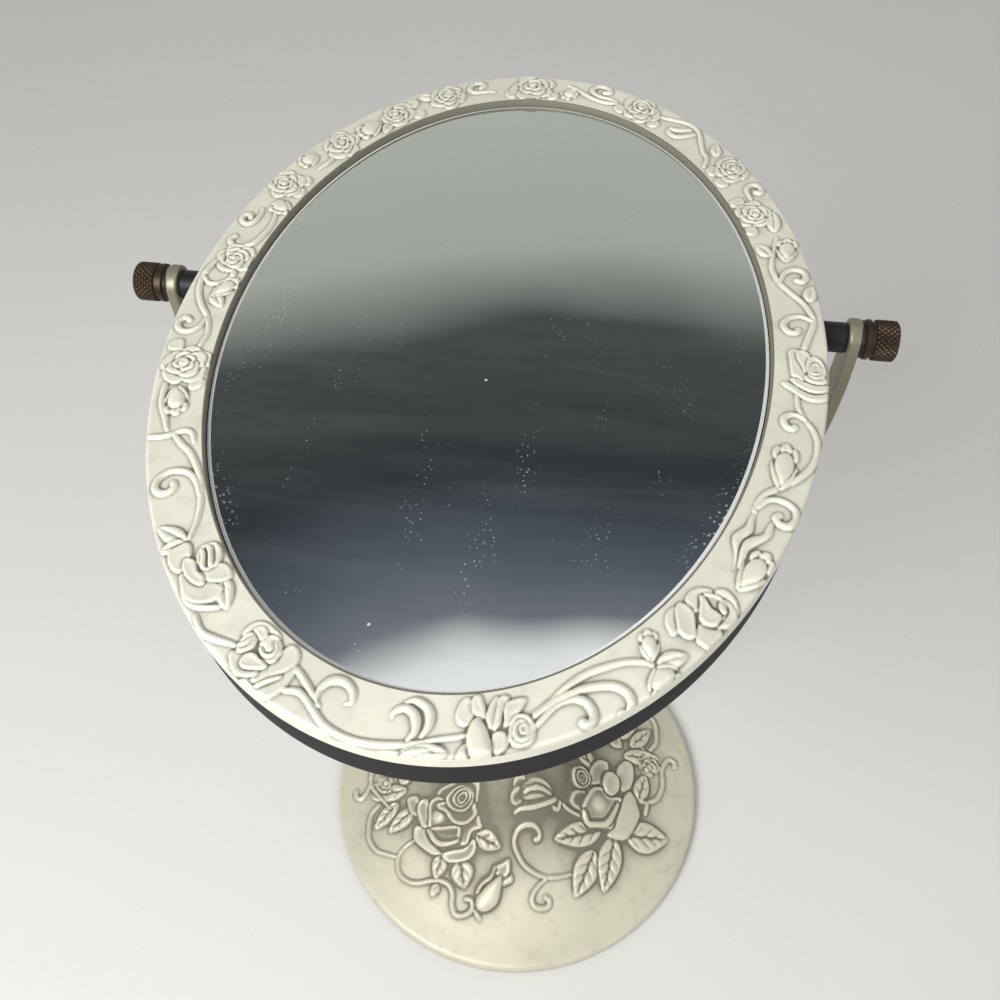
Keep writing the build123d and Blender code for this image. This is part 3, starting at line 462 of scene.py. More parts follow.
class Carving:
    """Height of cast ornament over its ground, on a flat map in millimetres."""

    # Share of the height that a cut line takes away, share of what lies below that still shows, and
    # margin of the map around an ornament
    line_share = 0.62
    under_share = 0.55
    margin = 1.6
    # Petals
    outline_step = 0.12
    dome_power = 2.5
    lip_width = 0.3
    lip_share = 0.4
    lip_start = 0.35
    rim_share = 0.42
    petal_blade = (1.9, 0.6)
    petal_floor = 0.50
    petal_rim = 0.38
    # Leaves
    leaf_blade = (0.8, 0.85)
    leaf_crest = 0.45
    leaf_fullness = 0.62
    rib_depth = 0.50
    rib_stain = 0.30
    vein_slant = 0.95
    # Buds, as shares of the way along and of the half width
    bud_tips = ((0.78, -0.72), (0.78, 0.72), (0.88, 0.0))
    bud_tip_half = (0.17, 0.55)
    bud_body = ((0, 0), (0.16, 0.7), (0.42, 1), (0.66, 0.85), (0.80, 0.35), (0.80, -0.35), (0.66, -0.85),
                (0.42, -1), (0.16, -0.7))
    bud_sepal = ((-0.08, 0), (0.1, 0.75), (0.36, 1.2), (0.56, 1.25), (0.3, 0.85), (0.12, 0.35))
    # Roses: turn from row to row, and how far petals differ in heading, size and outline
    rose_turn = 0.9
    rose_swing = 0.3
    rose_growth = 0.24
    rose_wave = 0.08
    rose_floor = 0.6
    # Recesses: wider looks around, as multiples of the near one (the widest finds crowded ground for
    # painted shade), and the share of the wide one
    wide_spread = 2.6
    crowd_spread = 9
    wide_share = 0.6

    def __init__(self, low, high, cell, loops, line_width, line_depth, rim_width):
        self.low = np.array(low, float)
        self.cell = cell
        self.loops = loops
        self.line_width = line_width
        self.line_depth = line_depth
        self.rim_width = rim_width
        self.columns, self.rows = (int(round(size / cell)) for size in np.array(high) - self.low)
        self.height = np.zeros((self.rows, self.columns))
        # Darkening of the hollows: patina in leaf ribs and veins, patina and painted shade on the floors of
        # cupped petals
        self.hollow_stain_and_shade = np.zeros((self.rows, self.columns))
        self.random = np.random.default_rng(ROSE_SEED)

    def window(self, points, reach):
        """Index and places of the cells around some points."""
        points = np.atleast_2d(points)
        first = np.floor((points.min(0) - reach - self.margin - self.low) / self.cell).astype(int)
        last = np.ceil((points.max(0) + reach + self.margin - self.low) / self.cell).astype(int)
        columns = np.arange(first[0], last[0] + 1)
        rows = np.arange(max(first[1], 0), min(last[1] + 1, self.rows))
        if not self.loops:
            columns = columns[(columns >= 0) & (columns < self.columns)]
        across, up = np.meshgrid(self.low[0] + columns * self.cell, self.low[1] + rows * self.cell)
        return np.ix_(rows, columns % self.columns), across, up

    def lay(self, index, height, gap, hollow_stain_and_shade=0.0):
        """Lay an ornament over what is there, with a cut line around it; gap is the way outside it."""
        under = self.height[index]
        line = np.exp(-(np.maximum(gap, 0) / self.line_width)**2)
        outside = under * (1 - self.line_share * line) - self.line_depth * line
        inside = np.maximum(height, self.under_share * under)
        self.height[index] = np.where(gap < 0, inside, outside)
        self.hollow_stain_and_shade[index] = np.where(gap < 0, hollow_stain_and_shade, self.hollow_stain_and_shade[index])

    def swell(self, middle, radius, tall):
        """Soft rise without an outline."""
        index, across, up = self.window(middle, 2 * radius)
        rise = np.exp(-((across - middle[0])**2 + (up - middle[1])**2) / radius**2)
        self.height[index] += tall * rise
        self.hollow_stain_and_shade[index] *= 1 - rise

    def stem(self, points, half_width, tall, widths, flatness=2.0):
        """Round vine along a path, of changing width."""
        path = smooth_path(points, half_width / 4)
        shares = np.linspace(0, 1, len(path))
        reach = half_width * np.interp(shares, *np.array(widths).T)
        index, across, up = self.window(path, reach.max())
        gap = np.full(across.shape, np.inf)
        height = np.zeros(across.shape)
        for (right, top), width in zip(path, reach):
            away = np.hypot(across - right, up - top)
            gap = np.minimum(gap, away - width)
            dome = np.sqrt(np.maximum(0, 1 - (away / width)**flatness))
            height = np.maximum(height, dome * tall * math.sqrt(min(1, width / half_width)))
        self.lay(index, height, gap)

    def patch(self, outline, tall, floor):
        """Petal inside a closed outline: a dome, or a cup whose floor lies below its rim."""
        path = smooth_path(outline, self.outline_step, True)
        index, across, up = self.window(path, 0)
        inside = np.zeros(across.shape, bool)
        away = np.full(across.shape, np.inf)
        for (right, top), (next_right, next_top) in zip(path, path[1:]):
            away = np.minimum(away, np.hypot(across - right, up - top))
            if top != next_top:
                crossing = right + (up - top) * (next_right - right) / (next_top - top)
                inside ^= ((top > up) != (next_top > up)) & (across < crossing)
        depth = away[inside].max()
        ratio = np.clip(away / depth, 0, 1)
        dome = np.sqrt(np.maximum(0, 1 - (1 - ratio)**self.dome_power))
        lip = np.clip(away / min(self.lip_width, self.lip_share * depth), 0, 1)**0.5
        rim = np.exp(-(away / min(self.rim_share * depth, self.rim_width))**2)
        cup = (self.lip_start + (1 - self.lip_start) * lip) * (floor + (1 - floor) * rim)
        height = dome if floor >= 1 else cup
        # The cup's floor gets (1 - floor) * (1 - rim) of that darkening: patina and painted shade
        self.lay(index, tall * height, np.where(inside, -away, away), (1 - floor) * (1 - rim))

    def blade(self, base, tip, half_width, fullness, sharpness):
        """Leaf-shaped outline: index, share along, way across, half width there, gap outside, length."""
        base = np.array(base, float)
        tip = np.array(tip, float)
        length = np.linalg.norm(tip - base)
        along = (tip - base) / length
        index, across, up = self.window([base, tip], half_width)
        share = ((across - base[0]) * along[0] + (up - base[1]) * along[1]) / length
        side = (up - base[1]) * along[0] - (across - base[0]) * along[1]
        inner = np.clip(share, 0.001, 0.999)
        width = half_width * np.sin(np.pi * inner**fullness)**sharpness
        beyond = (share - np.clip(share, 0, 1)) * length
        gap = np.where(beyond == 0, np.abs(side) - width, np.hypot(beyond, side))
        return index, share, side, width, gap, length

    def leaf(self, base, tip, half_width, tall, pitch, veins):
        """Leaf with a sunk midrib, side veins and two domed halves."""
        index, share, side, width, gap, length = self.blade(base, tip, half_width, *self.leaf_blade)
        ratio = np.clip(np.abs(side) / width, 0, 1)
        dome = np.maximum(0, 1 - np.abs((ratio - self.leaf_crest) / self.leaf_fullness)**3)**0.5
        rib = np.exp(-(side / (0.06 * half_width + 0.20))**2)
        phase = (share * length - self.vein_slant * np.abs(side)) / pitch + 0.25 * np.sign(side)
        vein = (0.5 + 0.5 * np.cos(2 * np.pi * phase))**4 * np.clip(3 * (0.95 - ratio), 0, 1)
        height = tall * (dome - self.rib_depth * rib - veins * vein)
        self.lay(index, height, gap, self.rib_stain * np.maximum(rib, 2 * veins * vein))

    def bud(self, base, tip, half_width, tall):
        """Opening bud: a smooth body, a sepal on each side and three turned-out petal tips."""
        base = np.array(base, float)
        along = np.array(tip, float) - base
        side = half_width * np.array((-along[1], along[0])) / np.linalg.norm(along)

        def placed(points):
            return [base + along * way + side * out for way, out in points]

        long, wide = self.bud_tip_half
        turns = np.arange(0, 6.2, 0.8)
        for way, out in self.bud_tips:
            ring = [(way + long * math.cos(a), out + wide * math.sin(a)) for a in turns]
            self.patch(placed(ring), 0.85 * tall, 0.6)
        self.patch(placed(self.bud_body), tall, 1.0)
        for flip in (-1, 1):
            self.patch(placed([(way, out * flip) for way, out in self.bud_sepal]), 0.7 * tall, 0.9)

    def petal(self, base, tip, half_width, tall):
        """Single petal with a turned-up rim."""
        index, share, side, width, gap = self.blade(base, tip, half_width, *self.petal_blade)[:5]
        ratio = np.clip(np.abs(side) / width, 0, 1)
        rim = np.maximum(ratio**3, np.clip(share, 0, 1)**5)
        self.lay(index, tall * (self.petal_floor + self.petal_rim * rim), gap)

    def rose(self, middle, radius, lean, turn, tall):
        """Open rose: rows of uneven cupped petals that rise towards a heart that leans off the middle."""
        around = np.arange(0, 2 * np.pi, 0.6)
        for number, (reach, size, count, share) in enumerate(ROSE_ROWS):
            heart = np.array(middle) + np.array(lean) * number / (len(ROSE_ROWS) - 1)
            for petal in range(count):
                swing = self.rose_swing * (self.random.random() - 0.5)
                heading = turn + self.rose_turn * number + 2 * np.pi * petal / count + swing
                grown = radius * size * (1 + self.rose_growth * (self.random.random() - 0.5))
                wave = grown * (1 + self.rose_wave * np.cos(3 * around + 6 * self.random.random()))
                centre = heart + radius * reach * np.array((math.cos(heading), math.sin(heading)))
                ring = np.stack([wave * np.cos(around), wave * np.sin(around)], -1)
                self.patch(centre + ring, share * tall, self.rose_floor)

    def ready(self, smoothing, spread, staining, shading):
        """Soften the map a little and find its recesses, its hollows darkened by patina and painted shade,
        and its low ground near crowded relief, darkened by painted shade.
        """
        self.height = blurred(self.height, smoothing / self.cell)
        near = blurred(self.height, spread / self.cell)
        wide = blurred(self.height, self.wide_spread * spread / self.cell)
        crowded_shade = blurred(self.height, self.crowd_spread * spread / self.cell) / self.height.max()
        ground = 1 - np.clip(2 * self.height / self.height.max(), 0, 1)
        sunk = (near - self.height) + self.wide_share * (wide - self.height)
        # Patina in the recesses, patina and painted shade in the hollows, and painted shade on low ground
        # near crowded relief
        recess = sunk + staining * self.hollow_stain_and_shade + shading * crowded_shade * ground
        self.recess = blurred(recess, smoothing / self.cell)

    def sample(self, field, across, up):
        """Field read between the cells at map places."""
        column = (across - self.low[0]) / self.cell
        row = np.clip((up - self.low[1]) / self.cell, 0, self.rows - 1.001)
        left = np.floor(column).astype(int)
        below = np.floor(row).astype(int)
        right_share = column - left
        top_share = row - below
        if self.loops:
            first, second = left % self.columns, (left + 1) % self.columns
        else:
            first, second = np.clip(left, 0, self.columns - 1), np.clip(left + 1, 0, self.columns - 1)
        low = field[below, first] * (1 - right_share) + field[below, second] * right_share
        high = field[below + 1, first] * (1 - right_share) + field[below + 1, second] * right_share
        return low * (1 - top_share) + high * top_share


class Value:
    """A shader socket in a sum: each sign adds a Math node."""

    def __init__(self, nodes, socket):
        self.nodes = nodes
        self.socket = socket

    def maths(self, operation, first, second, clamp=False):
        settings = {"operation": operation, "use_clamp": clamp}
        return self.nodes.node("ShaderNodeMath", settings, {0: first, 1: second})

    def __add__(self, other):
        return self.maths("ADD", self, other)

    def __radd__(self, other):
        return self.maths("ADD", other, self)

    def __sub__(self, other):
        return self.maths("SUBTRACT", self, other)

    def __rsub__(self, other):
        return self.maths("SUBTRACT", other, self)

    def __mul__(self, other):
        return self.maths("MULTIPLY", self, other)

    def __pow__(self, other):
        return self.maths("POWER", self, other)

    def above(self, level):
        return self.maths("GREATER_THAN", self, level)

    def clamped(self):
        return self.maths("ADD", self, 0.0, True)


class Nodes:
    """A node tree that is filled node by node."""

    def __init__(self, owner):
        owner.use_nodes = True
        self.tree = owner.node_tree
        self.tree.nodes.clear()

    def node(self, kind, settings=None, inputs=None, output=0):
        """Add a node: its settings first, then the values and links of its sockets."""
        made = self.tree.nodes.new(kind)
        for name, value in (settings or {}).items():
            if name == "stops":
                ramp = made.color_ramp
                for place, colour in value[2:]:
                    ramp.elements.new(place)
                for element, (place, colour) in zip(ramp.elements, sorted(value)):
                    element.position = place
                    element.color = colour
            else:
                setattr(made, name, value)
        for name, value in (inputs or {}).items():
            if isinstance(value, Value):
                self.tree.links.new(value.socket, made.inputs[name])
            else:
                made.inputs[name].default_value = value
        return Value(self, made.outputs[output]) if len(made.outputs) else None

    def mix(self, first, second, share):
        """Colour between two colours."""
        settings = {"data_type": "RGBA", "clamp_factor": True}
        return self.node("ShaderNodeMix", settings, {0: share, 6: first, 7: second}, 2)

    def place(self, scale=(1, 1, 1)):
        """Object coordinates, stretched."""
        here = self.node("ShaderNodeTexCoord", output="Object")
        return self.node("ShaderNodeVectorMath", {"operation": "MULTIPLY"}, {0: here, 1: scale})

    def noise(self, scale, detail=3.0, roughness=0.55, stretch=(1, 1, 1), distortion=0.0):
        """Cloudy pattern; scale is per metre."""
        inputs = {"Vector": self.place(stretch), "Scale": scale, "Detail": detail, "Roughness": roughness,
                  "Distortion": distortion}
        return self.node("ShaderNodeTexNoise", None, inputs)

    def attribute(self, name):
        return self.node("ShaderNodeAttribute", {"attribute_name": name}, output="Fac")

    def bump(self, height, distance, strength):
        inputs = {"Height": height, "Distance": distance, "Strength": strength}
        return self.node("ShaderNodeBump", None, inputs)

    def surface(self, **sockets):
        """Principled surface; socket names are given with underscores."""
        inputs = {name.replace("_", " "): value for name, value in sockets.items()}
        shader = self.node("ShaderNodeBsdfPrincipled", None, inputs)
        self.node("ShaderNodeOutputMaterial", None, {"Surface": shader})


def new_finish(name):
    """A new material and its nodes."""
    material = bpy.data.materials.new(name)
    return material, Nodes(material)


def opaque(colour, level=1.0):
    """Colour with alpha, made lighter or darker."""
    return tuple(min(1.0, part * level) for part in colour) + (1.0,)


def pewter_finish(name, base, patina, roughness, metal, staining):
    """Satin cast pewter: mottled, dark in the recesses from patina and from the painted shade that the
    recess attribute carries, and rubbed bright on the ridges.
    """
    material, nodes = new_finish(name)
    recess = nodes.attribute("recess")
    mottle = nodes.noise(45, 4)
    streak = nodes.noise(260, 3)
    grain = nodes.noise(2600, 2)
    # Darkening from the recess attribute: patina, and painted shade where the carving adds it
    dark = (recess * 3.5 + (streak - 0.5) * 0.22 - 0.12).clamped()
    bright = (recess * -1.5 - 0.10).clamped()
    colour = nodes.mix(opaque(base, 0.80), opaque(base, 1.12), mottle)
    colour = nodes.mix(colour, opaque(base, 0.72), ((streak - 0.54) * 2.2).clamped())
    colour = nodes.mix(colour, opaque(base, 1.18), bright * 0.35)
    colour = nodes.mix(colour, opaque(patina), dark * staining)
    height = streak * 0.6 + grain * 0.4
    nodes.surface(Base_Color=colour, Metallic=metal - dark * metal * 0.8,
                  Roughness=roughness + (mottle - 0.5) * 0.16 + dark * 0.22 - bright * 0.06,
                  Normal=nodes.bump(height, 0.06 * MM, 0.6))
    return material


def shell_finish(colour):
    """Charcoal paint with a fine grain and a few rubbed places."""
    material, nodes = new_finish("charcoal_paint")
    grain = nodes.noise(1900, 3)
    cloud = nodes.noise(38, 4)
    rubbed = ((nodes.noise(420, 4, 0.7) - 0.62) * 6.0).clamped()
    base = nodes.mix(opaque(colour, 0.8), opaque(colour, 1.35), cloud)
    base = nodes.mix(base, opaque(colour, 2.6), rubbed * 0.5)
    nodes.surface(Base_Color=base, Roughness=0.58 + (cloud - 0.5) * 0.2 + rubbed * 0.1,
                  Specular_IOR_Level=0.12, Normal=nodes.bump(grain, 0.05 * MM, 0.7))
    return material


def glass_finish(silver, dust, edge, middle, half):
    """Silvered glass with a pale bevel as a painted glint, trails of dust, wiping smears and a few flecks.
    """
    material, nodes = new_finish("silvered_glass")

    def cells(scale):
        inputs = {"Vector": nodes.place(), "Scale": scale, "Randomness": 1.0}
        return nodes.node("ShaderNodeTexVoronoi", {"feature": "F1"}, inputs, "Distance")

    bevel = nodes.attribute("bevel").above(0.02)
    trail = nodes.noise(34, 4, 0.6, (4.0, 0.7, 1.0))
    smear = nodes.noise(30, 5, 0.65, (0.5, 3.0, 1.0), 0.6)
    seeds = cells(950.0)
    flecks = cells(80.0)
    specks = (0.15 - seeds).above(0.0) * ((trail - 0.56) * 7.0).clamped()
    spots = (0.034 - flecks).above(0.0) * (nodes.noise(60, 2) - 0.55).above(0.0)
    here = nodes.place((1 / half.x, 1 / half.y, 0))
    across = nodes.node("ShaderNodeSeparateXYZ", None, {0: here}, "X") - middle.x / half.x
    deep = nodes.node("ShaderNodeSeparateXYZ", None, {0: here}, "Y") - middle.y / half.y
    border = (((across * across + deep * deep)**0.5 - 0.93) * 14.0).clamped()
    crumbs = (0.24 - seeds).above(0.0) * border * ((nodes.noise(24, 3) - 0.50) * 6.0).clamped()
    film = ((smear - 0.42) * 1.6).clamped()
    dirt = (specks * 0.5 + crumbs * 0.7 + spots * 0.8 + film * 0.035).clamped()
    # The bevel's pale colour is a painted glint
    base = nodes.mix(nodes.mix(opaque(silver), opaque(dust), dirt), opaque(edge), bevel)
    nodes.surface(Base_Color=base, Metallic=(1.0 - dirt) * (1.0 - bevel * 0.85),
                  Roughness=(film * 0.12 + dirt * 0.4 + 0.02 + bevel * 0.3).clamped())
    return material


def nylon_finish():
    """Black nylon with a faint moulded grain."""
    material, nodes = new_finish("black_nylon_grain")
    cloud = nodes.noise(300, 3)
    base = nodes.mix((0.006, 0.006, 0.007, 1), (0.014, 0.013, 0.013, 1), cloud)
    nodes.surface(Base_Color=base, Roughness=0.38 + cloud * 0.16, Specular_IOR_Level=0.25,
                  Normal=nodes.bump(cloud, 0.03 * MM, 0.5))
    return material


def bronze_finish(colour):
    """Brown bronze, brighter on the knurl's ridges."""
    material, nodes = new_finish("brown_bronze")
    recess = nodes.attribute("recess")
    cloud = nodes.noise(420, 4)
    ridge = (0.5 - recess * 0.5).clamped()
    base = nodes.mix(opaque(colour, 0.35), opaque(colour, 1.5), ridge)
    base = nodes.mix(base, opaque(colour, 0.7), ((cloud - 0.5) * 1.8).clamped())
    nodes.surface(Base_Color=base, Metallic=0.75, Roughness=0.34 + cloud * 0.2,
                  Normal=nodes.bump(cloud, 0.02 * MM, 0.5))
    return material


def steel_finish(name, colour, metal):
    """Turned steel or brass with fine tool marks."""
    material, nodes = new_finish(name)
    marks = nodes.noise(600, 3, 0.6, (1.0, 1.0, 6.0))
    base = nodes.mix(opaque(colour, 0.75), opaque(colour, 1.15), marks)
    nodes.surface(Base_Color=base, Metallic=metal, Roughness=0.28 + marks * 0.2,
                  Normal=nodes.bump(marks, 0.02 * MM, 0.4))
    return material


def soft_finish(name, colour, scale, depth):
    """Matt felt, foam or board: a fibrous or porous surface."""
    material, nodes = new_finish(name)
    fibre = nodes.noise(scale, 4, 0.7)
    cloud = nodes.noise(scale * 0.06, 3)
    base = nodes.mix(opaque(colour, 0.6), opaque(colour, 1.5), fibre)
    base = nodes.mix(base, opaque(colour, 0.8), cloud * 0.5)
    nodes.surface(Base_Color=base, Roughness=0.95, Normal=nodes.bump(fibre, depth, 0.8))
    return material


def finish_piece(bm, name, body, nodes, material, crease):
    """Turn a bmesh into a smooth piece that rides on a body and stands for CAD nodes."""
    bmesh.ops.recalc_face_normals(bm, faces=bm.faces)
    mesh = bpy.data.meshes.new(name)
    bm.to_mesh(mesh)
    bm.free()
    mesh.materials.append(material)
    mesh.shade_smooth()
    mesh.set_sharp_from_angle(angle=math.radians(crease))
    piece = bpy.data.objects.new(name, mesh)
    bpy.context.scene.collection.objects.link(piece)
    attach(piece, body)
    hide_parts(*nodes)
    return piece


def turned(bm, corners, steps=96):
    """Solid turned about the Z axis from an outline of (radius, level, rounding) corners in metres."""
    count = len(bm.verts)
    ring = [bm.verts.new((radius, 0, level)) for radius, level, rounding in corners]
    for first, second in zip(ring, ring[1:] + ring[:1]):
        if corners[ring.index(first)][0] + corners[ring.index(second)][0] > 0:
            bm.edges.new((first, second))
    for vert, (radius, level, rounding) in zip(ring, corners):
        if rounding:
            bmesh.ops.bevel(bm, geom=[vert], offset=rounding, offset_type="OFFSET", segments=5, profile=0.5,
                            affect="VERTICES", material=-1)
    bm.verts.ensure_lookup_table()
    outline = bm.verts[count:]
    edges = [edge for edge in bm.edges if edge.is_wire]
    bmesh.ops.spin(bm, geom=outline + edges, cent=(0, 0, 0), axis=(0, 0, 1), dvec=(0, 0, 0),
                   angle=2 * math.pi, steps=steps, use_merge=True, use_duplicate=False)
    bmesh.ops.remove_doubles(bm, verts=bm.verts[count:], dist=TINY)


def wrapped(columns, rows, mould):
    """Grid wrapped into a closed skin; mould gives places and recess for column and row numbers."""
    bm = bmesh.new()
    bmesh.ops.create_grid(bm, x_segments=columns, y_segments=rows, size=1.0)
    flat = np.array([vert.co[:2] for vert in bm.verts])
    column = np.round((flat[:, 0] + 1) / 2 * columns).astype(int)
    row = np.round((flat[:, 1] + 1) / 2 * rows).astype(int)
    places, recess = mould(column, row)
    layer = bm.verts.layers.float.new("recess")
    for vert, place, depth in zip(bm.verts, places, recess):
        vert.co = place
        vert[layer] = depth
    bmesh.ops.remove_doubles(bm, verts=bm.verts, dist=2 * TINY)
    return bm


def box_middle(node):
    """Middle and half size of a CAD node's box."""
    low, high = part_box(node)
    return (low + high) / 2, (high - low) / 2


def tint(nodes, material):
    """Give a procedural finish to CAD nodes that stay."""
    for name in nodes:
        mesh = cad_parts[name].data
        mesh.materials.clear()
        mesh.materials.append(material)


class MirrorOperator:
    """What the operators share."""

    bl_options = {"REGISTER", "UNDO"}

    @property
    def sizes(self):
        return bpy.context.scene.mirror_carving

    @property
    def finishes(self):
        return bpy.context.scene.mirror_finishes

    def pewter(self, name, base, metal, staining):
        looks = self.finishes
        return pewter_finish(name, base, looks.patina, looks.pewter_roughness, metal, staining)


class MIRROR_OT_border(MirrorOperator, bpy.types.Operator):
    """Cast border with its roses, vines and scrolls"""

    bl_idname = "table_mirror.border"
    bl_label = "Carved Border"

    around = 1600
    face_rows = 44
    glass_gap = 0.25 * MM
    ledge = 4.0 * MM
    outer_round = 0.9 * MM
    inner_round = 0.35 * MM
    cup_step = 2.0 * MM
    # Painted shadow, with patina, on the border's inner wall by the glass: its weight, and the width of the
    # dark line
    wall_shade = 0.6
    edge_line = 0.6 * MM
    angle_count = 8001
    # Map of the ornament, in millimetres: cell, reach in and out, cut line's width and depth, petal rims
    cell = 0.13
    map_reach = (-9, 8)
    cutting = (0.34, 0.14, 0.46)
    # Smoothing and spread in millimetres, then weights of the hollows' patina and painted shade, and of the
    # painted shade on crowded ground
    shading = (0.12, 0.38, 0.16, 0.20)
    # Strokes: paths, widths along them, share of the stem's half width, share of the relief, flatness
    strokes = (
        (BORDER_STEMS, VINE, 0.94, 0.56, 3.2),
        (BORDER_CURLS, COMMA, 1.0, 0.60, 3.2),
        (BORDER_HORNS, HORN, 1.15, 0.64, 3.0),
    )
    # Shares of the relief, and the leaves' vein pitch in millimetres and vein depth
    leaf_share = 0.70
    bud_share = 0.90
    petal_share = 0.70
    ribbon_share = 0.95
    vein_pitch = 1.5
    vein_depth = 0.14
    rose_growth = 1.12
    # First bounds and number of halvings of the search for a place's inset, in millimetres
    search = (-12.0, 30.0)
    halvings = 40

    def carve(self, length):
        """The border's ornament on its unrolled face."""
        cell = length / round(length / self.cell)
        inner, outer = self.map_reach
        carving = Carving((0, inner), (length, outer), cell, True, *self.cutting)
        tall = self.sizes.border_relief / MM
        stem = self.sizes.border_stem / MM
        for paths, widths, wide, high, flatness in self.strokes:
            for points in paths:
                carving.stem(points, wide * stem, high * tall, widths, flatness)
        for base, tip, width in BORDER_LEAVES:
            carving.leaf(base, tip, width, self.leaf_share * tall, self.vein_pitch, self.vein_depth)
        for base, tip, width in BORDER_BUDS:
            carving.bud(base, tip, width, self.bud_share * tall)
        for base, tip, width in BORDER_PETALS:
            carving.petal(base, tip, width, self.petal_share * tall)
        for middle, radius, lean, turn in BORDER_ROSES:
            carving.rose(middle, self.rose_growth * radius, lean, turn, tall)
        for share, floor, outline in BORDER_PATCHES:
            carving.patch(outline, share * tall, floor)
        for width, points in BORDER_RIBBONS:
            carving.stem(points, width, self.ribbon_share * tall, VINE)
        carving.height = np.minimum(carving.height, tall)
        carving.ready(*self.shading)
        return carving

    def unrolled(self, across, deep, angles, lengths):
        """Ways along and out from the layout oval's middle line, for plan places in millimetres."""
        deep = deep - LAYOUT_MIDDLE
        outer, inner = (np.full(across.shape, bound) for bound in self.search)
        for step in range(self.halvings):
            inset = (outer + inner) / 2
            beyond = (across / (LAYOUT_HALF[0] - inset))**2 + (deep / (LAYOUT_HALF[1] - inset))**2 > 1
            inner = np.where(beyond, inset, inner)
            outer = np.where(beyond, outer, inset)
        turn = np.arctan2(deep / (LAYOUT_HALF[1] - inset), across / (LAYOUT_HALF[0] - inset))
        turn = (turn + math.pi / 2) % (2 * math.pi) - math.pi / 2
        return np.interp(turn, angles, lengths), LAYOUT_INSET - inset

    def execute(self, context):
        middle, half = box_middle("front_bezel")
        glass_low, glass_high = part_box("mirror_glass")
        bottom, top = (corner.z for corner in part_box("front_bezel"))
        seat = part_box("back_shell")[1].z
        width = half.x - (glass_high.x - glass_low.x) / 2 - self.glass_gap
        ground = top - self.sizes.border_relief
        # Section: inset from the outer edge, level and share of the relief it carries
        outer = [(self.outer_round * (1 - math.sin(a)), ground - self.outer_round * (1 - math.cos(a)),
                  math.cos(a)) for a in np.linspace(math.pi / 2, 0, 7)]
        inner = [(width - self.inner_round * (1 - math.sin(a)),
                  ground - self.inner_round * (1 - math.cos(a)),
                  math.cos(a)**2) for a in np.linspace(0, math.pi / 2, 5)]
        insets = np.linspace(self.outer_round, width - self.inner_round, self.face_rows)
        face = [(inset, ground, 1.0) for inset in insets[1:-1]]
        cup = width - self.cup_step
        section = [(0, seat, 0)] + outer + face + inner + [
            (width, glass_low.z, 0), (width + self.ledge, glass_low.z, 0), (width + self.ledge, bottom, 0),
            (cup, bottom, 0), (cup, seat, 0), (0, seat, 0)]
        inset, level, share = np.array(section).T
        # Painted shadow, with patina: dark line on the inner wall where border and glass meet
        meeting_shade = np.clip(2 * (inset - width) / self.edge_line + 2, 0, 1) * (level > glass_low.z - TINY)
        wall = self.wall_shade * np.where(inset > width + TINY, 0, meeting_shade)
        angles = np.linspace(-math.pi / 2, 1.5 * math.pi, self.angle_count)
        half_across, half_deep = np.array(LAYOUT_HALF) - LAYOUT_INSET
        speed = np.hypot(half_across * np.sin(angles), half_deep * np.cos(angles))
        lengths = np.concatenate([[0], np.cumsum((speed[1:] + speed[:-1]) / 2 * np.diff(angles))])
        carving = self.carve(lengths[-1])

        def mould(column, row):
            angle = np.interp(column / self.around * lengths[-1], lengths, angles)
            across = (half.x - inset[row]) * np.cos(angle)
            deep = middle.y + (half.y - inset[row]) * np.sin(angle)
            along, out = self.unrolled(across / MM, deep / MM, angles, lengths)
            height = carving.sample(carving.height, along, out) * share[row] * MM
            carved = np.where(share[row] > 0.3, carving.sample(carving.recess, along, out), 0)
            # The inner wall takes at least the painted shadow of the dark line
            depth = np.where(wall[row] > 0, np.maximum(carved, wall[row]), carved)
            return np.stack([across, deep, np.minimum(level[row] + height, top)], -1), depth

        bm = wrapped(self.around, len(section) - 1, mould)
        finish = self.pewter("border_pewter", self.finishes.pewter, 0.36, 0.92)
        finish_piece(bm, "carved_border", "mirror_head", ["front_bezel"], finish, 70)
        return {"FINISHED"}


